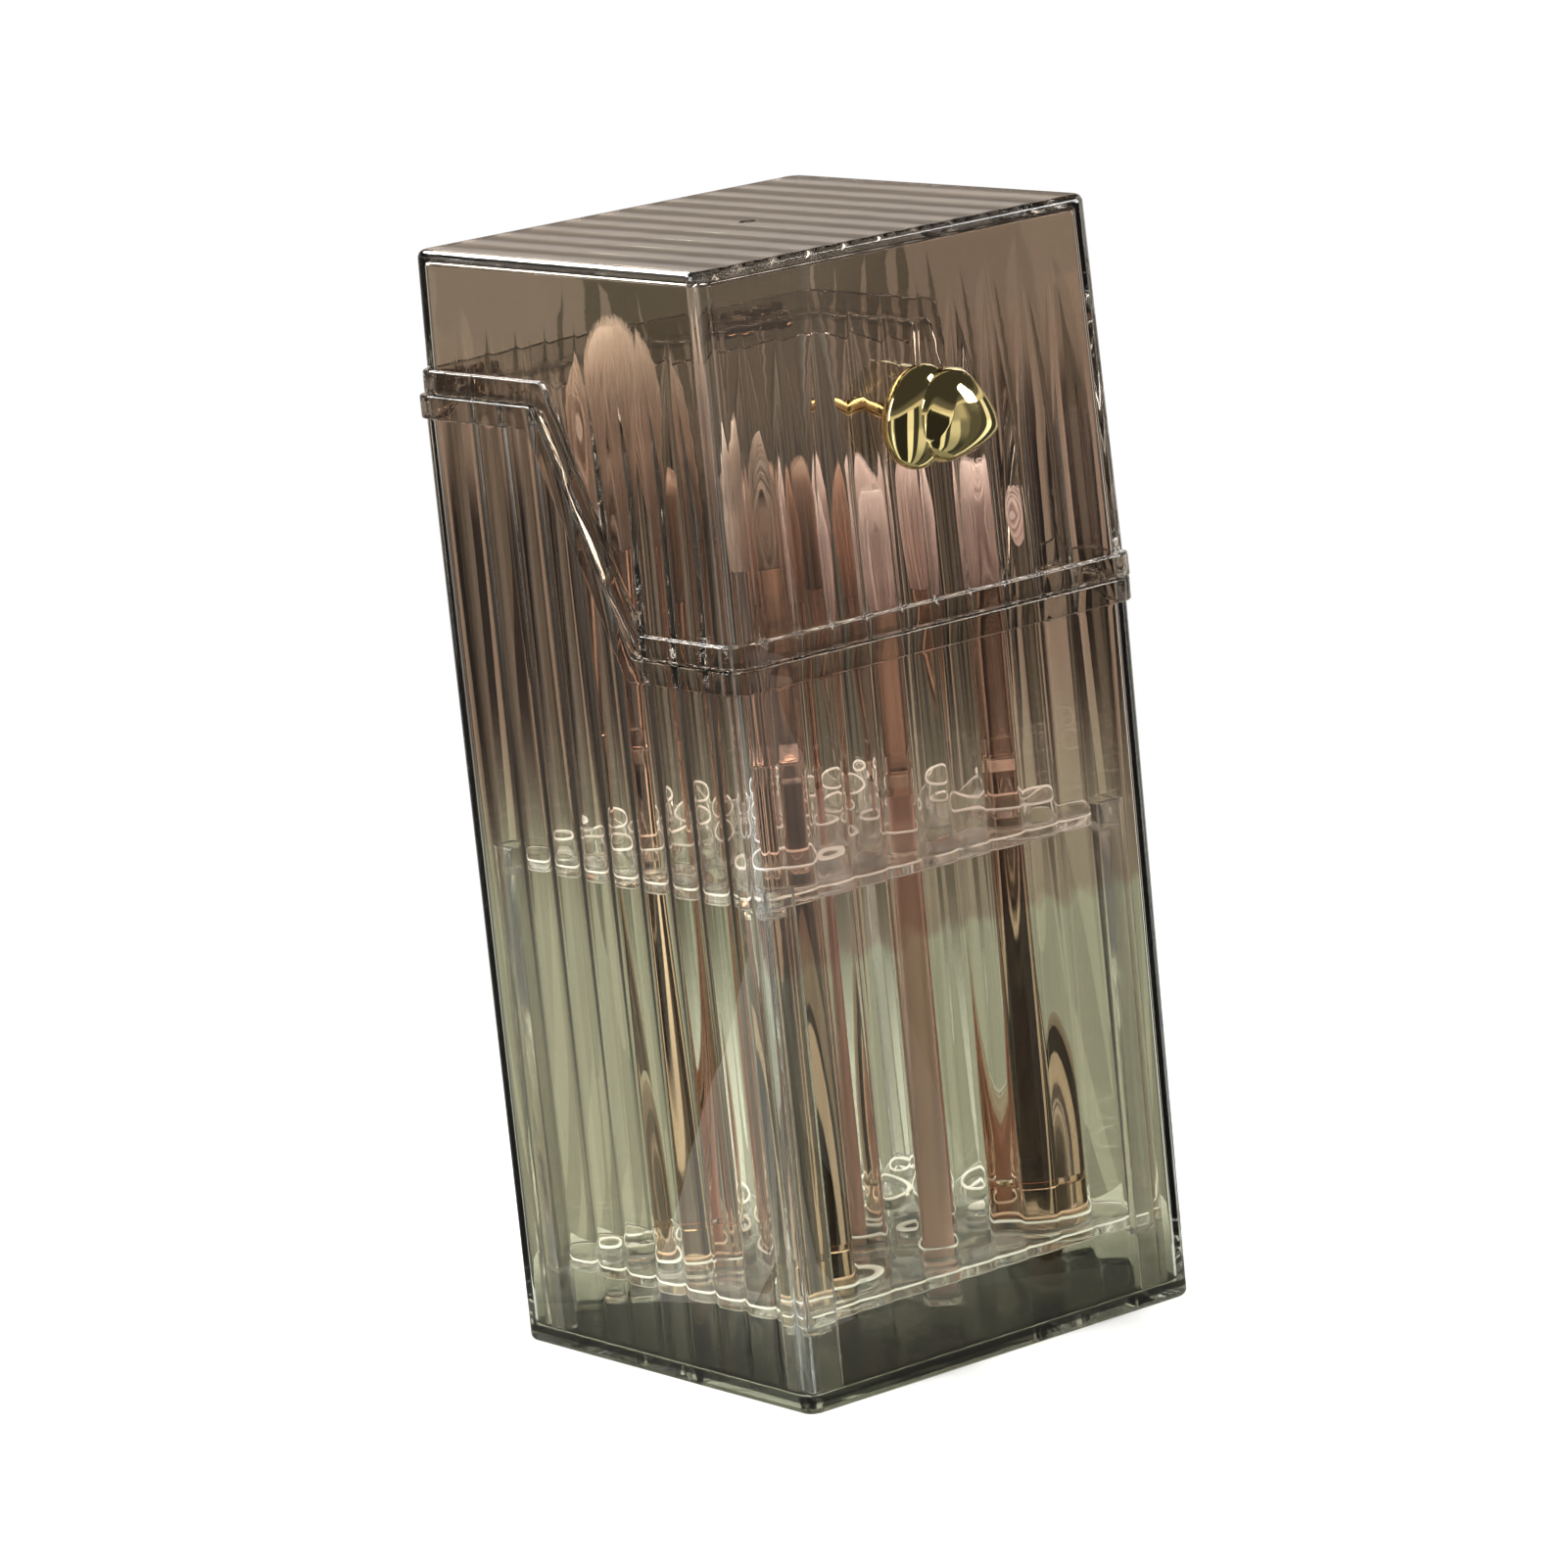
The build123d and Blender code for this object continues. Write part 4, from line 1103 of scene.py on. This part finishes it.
def build_head(sizes, brush, bottom):
    """Many fine hairs over a soft core. They swell to the belly and draw in to a domed or flat crown."""
    bm = bmesh.new()
    centre, mouth, belly = [[value * MM for value in pair]
                            for pair in (brush.hole, brush.mouth, brush.belly)]
    height = brush.height * MM
    number = ceil(sizes.hairs * brush.hairs)
    base = [half - 0.6 * MM for half in mouth]
    belly_height = brush.belly_at * height
    bulge = 0.55
    rng = random.Random(number)
    layer = bm.verts.layers.int.new("hair")
    hairs = []
    for index in range(number):
        reach = sqrt((index + 0.5) / number)
        angle = index * pi * (3 - sqrt(5)) + rng.uniform(-0.04, 0.04)
        crown = height * (1 - brush.dome * reach ** 2.2) * (1 - rng.uniform(0, 0.035))
        draw_in = 1 - (1 - brush.tip) * (crown - belly_height) / (height - belly_height)
        hairs.append((reach, angle, crown, draw_in, rng.uniform(-0.012, 0.012)))
    room = sqrt(pi / number)

    def outline(part, crown, draw_in):
        """Half sizes and height part of the way up a head that ends at the crown."""
        if part < bulge:
            t = smooth_share(0.5 + part / bulge / 2) * 2 - 1
            return [a + (b - a) * t for a, b in zip(base, belly)], belly_height * part / bulge
        t = (part - bulge) / (1 - bulge)
        across = [b * (1 + (draw_in - 1) * t ** 1.6) for b in belly]
        return across, belly_height + (crown - belly_height) * t

    def section(index, part):
        """Centre and half width of a hair's section, part of the way up."""
        reach, angle, crown, draw_in, wander = hairs[index]
        across, z = outline(part, crown, draw_in)
        turned_by = angle + wander * part * 4
        thin = 0.34 * (1 - 0.85 * max(0.0, (part - 0.75) / 0.25))
        middle = Vector((centre[0] + across[0] * reach * cos(turned_by),
                         centre[1] + across[1] * reach * sin(turned_by), bottom + z))
        return middle, thin * room * max(across)

    for index in range(number):
        middle, wide = section(index, 0)
        made = bmesh.ops.create_circle(bm, cap_ends=True, segments=3, radius=wide,
                                       matrix=Matrix.Translation(middle) @ Matrix.Rotation(index, 4, "Z"))
        for vert in made["verts"]:
            vert[layer] = index
    faces = list(bm.faces)
    parts = (0.0, 0.22, bulge, 0.78, 0.93, 1.0)
    for part, following in zip(parts, parts[1:]):
        grown = bmesh.ops.extrude_face_region(bm, geom=faces)["geom"]
        if part > 0:
            bmesh.ops.delete(bm, geom=faces, context="FACES_ONLY")
        for vert in picked(grown, VERT):
            old, old_wide = section(vert[layer], part)
            new, new_wide = section(vert[layer], following)
            vert.co = new + (vert.co - old) * (new_wide / old_wide)
        faces = picked(grown, FACE)

    # The core that fills the head between the hairs
    rings = [oval(centre, base[0] * 0.95, base[1] * 0.95, bottom - 1.5 * MM, 32)]
    for part in (0.02, 0.2, 0.4, bulge, 0.7, 0.8, 0.88, 0.93):
        across, top = outline(part, height * (1 - brush.dome), 1 + (brush.tip - 1) * 0.8)
        rings.append(oval(centre, across[0] * 0.93, across[1] * 0.93, bottom + top, 32))
    for t in (0.75, 0.5, 0.25):
        z = top + (height * 0.96 - top) * (1 - t ** 2)
        rings.append(oval(centre, across[0] * 0.93 * t, across[1] * 0.93 * t, bottom + z, 32))
    for ends in loft(bm, rings):
        cap(bm, ends)
    return bm


class BRUSHBOX_OT_handles(bpy.types.Operator):
    """Build the handles, end pieces and ferrules of all brushes"""

    bl_idname = "brush_box.handles"
    bl_label = "Handles and ferrules"

    def execute(self, context):
        sizes, colours = context.scene.brush_box_brushes, context.scene.brush_box_finish
        rose = kept("plated_rose", polished(colours.rose, 0.03))
        ends = kept("plated_tan", polished(colours.tan_gold, 0.04))
        copper = kept("plated_copper", polished(colours.copper, 0.14, 1.0))
        stick = kept("plated_stick", polished(colours.stick, 0.36))
        for name, brush in BRUSHES.items():
            foot, handle_top = foot_of(brush, context.scene), brush.handle_top * MM
            centre, mouth = [[value * MM for value in pair] for pair in (brush.hole, brush.mouth)]
            body, tall = f"{name}_brush", handle_top - foot
            if brush.fullness:
                neck = sizes.neck
                parts = (("fat_handle", fat_handle(sizes, brush.fullness, tall), rose, "handle", 72),
                         ("pointed_end", fat_end(sizes, brush.fullness), ends, "end", 72))
            else:
                neck = sizes.slim_neck
                parts = (("slim_handle", slim_handle(sizes, tall), stick, "handle", 40),)
            for kind, profile, metal, node, steps in parts:
                bm = turned([(radius, height + foot) for radius, height in profile],
                            Matrix.Translation((*centre, 0)), steps)
                make_piece(bm, f"{name}_{kind}", body, "rose_gold", [metal], f"{name}_{node}")
            bm = build_ferrule(sizes, centre, neck, mouth, handle_top, brush.ferrule_top * MM)
            make_piece(bm, f"{name}_crimped_ferrule", body, "copper", [copper], f"{name}_ferrule", sharp=50)
        return {"FINISHED"}


class BRUSHBOX_OT_bristles(bpy.types.Operator):
    """Build the bristles of all brushes, hair by hair"""

    bl_idname = "brush_box.bristles"
    bl_label = "Bristles"

    def execute(self, context):
        for name, brush in BRUSHES.items():
            low, high = brush.ferrule_top * MM, (brush.ferrule_top + brush.height) * MM
            bm = build_head(context.scene.brush_box_brushes, brush, low - 0.8 * MM)
            soft = kept(f"hair_of_{name}", hair(brush.root_colour, brush.tip_colour, low, high))
            make_piece(bm, f"{name}_hair", f"{name}_brush", brush.slot, [soft], f"{name}_bristles",
                       sharp=180)
        return {"FINISHED"}


# Stage

# Strips of the light tent: where each ends in degrees, how bright it is high up and low down, and whether it
# hides what is behind it
TENT = (
    (-166, 0.05, 0.05, 1), (-156, 0.25, 0.25, 1), (-148, 3.0, 1.5, 1), (-141, 0.8, 0.6, 1),
    (-104, 0.03, 0.03, 1), (-92, 1.3, 1.2, 1), (-84, 0.06, 0.06, 1), (-70, 0.9, 0.5, 1),
    (-61, 0.25, 0.06, 1), (-46, 0.12, 0.12, 1), (-36, 0.08, 0.08, 1), (-24, 1.8, 1.2, 1),
    (-6, 0.06, 0.06, 1), (8, 0.6, 0.5, 1), (16, 0.04, 0.6, 1), (22, 1.2, 0.9, 1), (30, 0.04, 0.7, 1),
    (37, 1.0, 0.9, 1), (45, 0.04, 0.75, 1), (61, 1.0, 1.0, 0), (69, 0.05, 0.75, 1), (76, 0.9, 0.9, 1),
    (83, 0.04, 0.7, 1), (88, 1.2, 0.9, 1), (98, 0.05, 0.6, 1), (112, 0.5, 0.5, 1), (121, 0.12, 0.2, 1),
    (134, 0.12, 0.12, 1), (150, 0.20, 0.08, 1), (165, 1.8, 1.2, 1), (180, 0.05, 0.05, 1),
)
# Area lights: name, place, what it points at, width, height and power
LIGHTS = (
    ("top_light", (0.1, -0.2, 1.1), (0, 0, 0.1), 0.9, 0.9, 12.0),
    ("left_light", (-1.3, 0.3, 0.7), (0, 0, 0.14), 0.5, 1.0, 12.0),
    ("right_light", (1.1, -0.9, 0.6), (0, 0, 0.14), 0.4, 1.0, 18.0),
    ("edge_light", (-0.18, 0.66, 0.75), (0, 0, 0.2), 0.9, 0.16, 12.0),
)
# Which way is right, up and back from the camera, and its place
CAMERA_TURN = ((0.7826692, -0.61458777, -0.09854339), (0.20404682, 0.10376791, 0.973446),
               (-0.58804236, -0.78199367, 0.20662063))
CAMERA_PLACE = (-0.87770533, -1.16047452, 0.41886291)


def pale_floor(made):
    """A matt floor that fades out into the background."""
    distance = made.node("ShaderNodeVectorMath", {"operation": "LENGTH"}, {0: made.place()}, 1)
    pale = made.node("ShaderNodeBsdfDiffuse", None, {"Color": (0.68, 0.68, 0.68)})
    return made.done(made.mixed(distance.ramp(0.15, 0.42), pale, made.node("ShaderNodeBsdfTransparent")))


def tent_light(made):
    """The light tent's strips, each with its own brightness high up and low down."""
    x, y, z = made.axes()
    around = made.node("ShaderNodeMath", {"operation": "ARCTAN2"}, {0: y, 1: x}) / (2 * pi) + 0.5
    starts = [0.0] + [(end + 180) / 360 for end, *_ in TENT[:-1]]
    bands = []
    for part, scale in ((1, 0.5), (2, 0.5), (3, 1.0)):
        steps = [(start, strip[part] * scale) for start, strip in zip(starts, TENT)]
        bands.append(made.node("ShaderNodeValToRGB", {"steps": steps}, {0: around}))
    high, low, hides = bands
    bright = made.mix(z.ramp(0.05, 0.10) * z.ramp(0.155, 0.13), low, high)
    patch = around.ramp(0.300, 0.310) * around.ramp(0.340, 0.322) * z.ramp(0.125, 0.165)
    bright = made.mix(patch, bright, (0.3, 0.29, 0.27))
    warm = made.mix(z.ramp(0.03, 0.14), (1.0, 0.97, 0.88), (1.0, 0.93, 0.85))
    glow = made.node("ShaderNodeEmission", None,
                     {"Color": made.mix(1.0, bright, warm, "MULTIPLY"), "Strength": 2.0})
    return made.done(made.mixed(hides, made.node("ShaderNodeBsdfTransparent"), glow))


def build_world(scene):
    """Plain white to the camera; to all else a soft dark studio with a pale band above the horizon."""
    scene.world = bpy.data.worlds.new("studio")
    made = Finish(scene.world)
    z = made.axes(made.node("ShaderNodeTexCoord", output=0))[2]
    above = made.mix(z.ramp(0.10, 0.17), (0.34, 0.285, 0.24), (0.86, 0.75, 0.65))
    above = made.mix(z.ramp(0.21, 0.26), above, (0.16, 0.15, 0.14))
    above = made.mix(z.ramp(0.30, 0.42), above, (0.06, 0.055, 0.05))
    below = made.mix(made.node("ShaderNodeLightPath", output=3), (0.92, 0.92, 0.92), (0.34, 0.33, 0.28))
    studio = made.mix(z.ramp(-0.06, 0.04), below, above)
    seen = made.mix(made.node("ShaderNodeLightPath"), studio, (1.0, 1.0, 1.0))
    light = made.node("ShaderNodeBackground", None, {"Color": seen, "Strength": 1.0})
    made.done(light, "ShaderNodeOutputWorld")


def place_lights(scene):
    """Soft area lights that the camera doesn't see. The one above isn't mirrored either."""
    for name, place, target, width, height, power in LIGHTS:
        light = bpy.data.lights.new(name, "AREA")
        light.shape = "RECTANGLE"
        light.size, light.size_y, light.energy = width, height, power
        lamp = bpy.data.objects.new(name, light)
        lamp.location = place
        lamp.rotation_euler = (Vector(target) - Vector(place)).to_track_quat("-Z", "Y").to_euler()
        scene.collection.objects.link(lamp)
        lamp.visible_camera = False
        lamp.visible_glossy = name != "top_light"


def place_camera(scene):
    """The camera that was fitted to the photographed box."""
    camera = bpy.data.objects.new("camera", bpy.data.cameras.new("camera"))
    scene.collection.objects.link(camera)
    scene.camera = camera
    camera.data.lens = 170.65
    camera.data.sensor_width = 36.0
    camera.data.clip_start = 0.05
    camera.matrix_world = Matrix.Translation(CAMERA_PLACE) @ Matrix(CAMERA_TURN).transposed().to_4x4()


class BRUSHBOX_OT_stage(bpy.types.Operator):
    """Set up the floor, the light and the camera"""

    bl_idname = "brush_box.stage"
    bl_label = "Stage"

    def execute(self, context):
        scene = context.scene
        bm = bmesh.new()
        bmesh.ops.create_circle(bm, cap_ends=True, segments=96, radius=0.9)
        floor = new_object(bm, "floor", [kept("pale_floor", pale_floor)])
        floor.location.z = -0.0001
        floor.visible_glossy = False
        # A striped light tent that only reflections and the clear plastic see, open behind the box
        bm = turned([(0.092, 0.0005), (0.24, 0.12), (0.24, 0.222)], None, 96)
        tent = new_object(bm, "light_tent", [kept("light_tent", tent_light)])
        tent.visible_camera = tent.visible_diffuse = tent.visible_shadow = False
        build_world(scene)
        place_lights(scene)
        place_camera(scene)
        scene.view_settings.view_transform = "Standard"
        scene.view_settings.look = "None"
        limits = {"max_bounces": 32, "transmission_bounces": 32, "transparent_max_bounces": 16,
                  "glossy_bounces": 12, "diffuse_bounces": 4, "sample_clamp_indirect": 6.0}
        for limit, value in limits.items():
            setattr(scene.cycles, limit, value)
        scene.cycles.use_denoising = True
        return {"FINISHED"}


class BRUSHBOX_PT_panel(bpy.types.Panel):
    """Lists the steps that build the brush box"""

    bl_idname = "BRUSHBOX_PT_panel"
    bl_label = "Brush box"
    bl_space_type = "VIEW_3D"
    bl_region_type = "UI"
    bl_category = "Brush box"

    def draw(self, context):
        for operator in OPERATORS:
            self.layout.operator(operator.bl_idname)
        for group in GROUPS:
            box = self.layout.box()
            for field in group[1].__annotations__:
                box.prop(getattr(context.scene, group[0]), field)


GROUPS = (
    ("brush_box_shell", BrushBoxShell),
    ("brush_box_finish", BrushBoxFinish),
    ("brush_box_rack", BrushBoxRack),
    ("brush_box_brushes", BrushBoxBrushes),
)
OPERATORS = (
    BRUSHBOX_OT_shells,
    BRUSHBOX_OT_pins,
    BRUSHBOX_OT_knob,
    BRUSHBOX_OT_rack,
    BRUSHBOX_OT_handles,
    BRUSHBOX_OT_bristles,
    BRUSHBOX_OT_stage,
)


def register():
    for name, group in GROUPS:
        bpy.utils.register_class(group)
        setattr(bpy.types.Scene, name, bpy.props.PointerProperty(type=group))
    for operator in (*OPERATORS, BRUSHBOX_PT_panel):
        bpy.utils.register_class(operator)


def unregister():
    for operator in (BRUSHBOX_PT_panel, *reversed(OPERATORS)):
        bpy.utils.unregister_class(operator)
    for name, group in reversed(GROUPS):
        delattr(bpy.types.Scene, name)
        bpy.utils.unregister_class(group)


def main():
    """Builds every piece in order."""
    register()
    for operator in OPERATORS:
        step = operator.bl_idname.split(".")[1]
        getattr(bpy.ops.brush_box, step)()


if __name__ == "__main__":
    main()
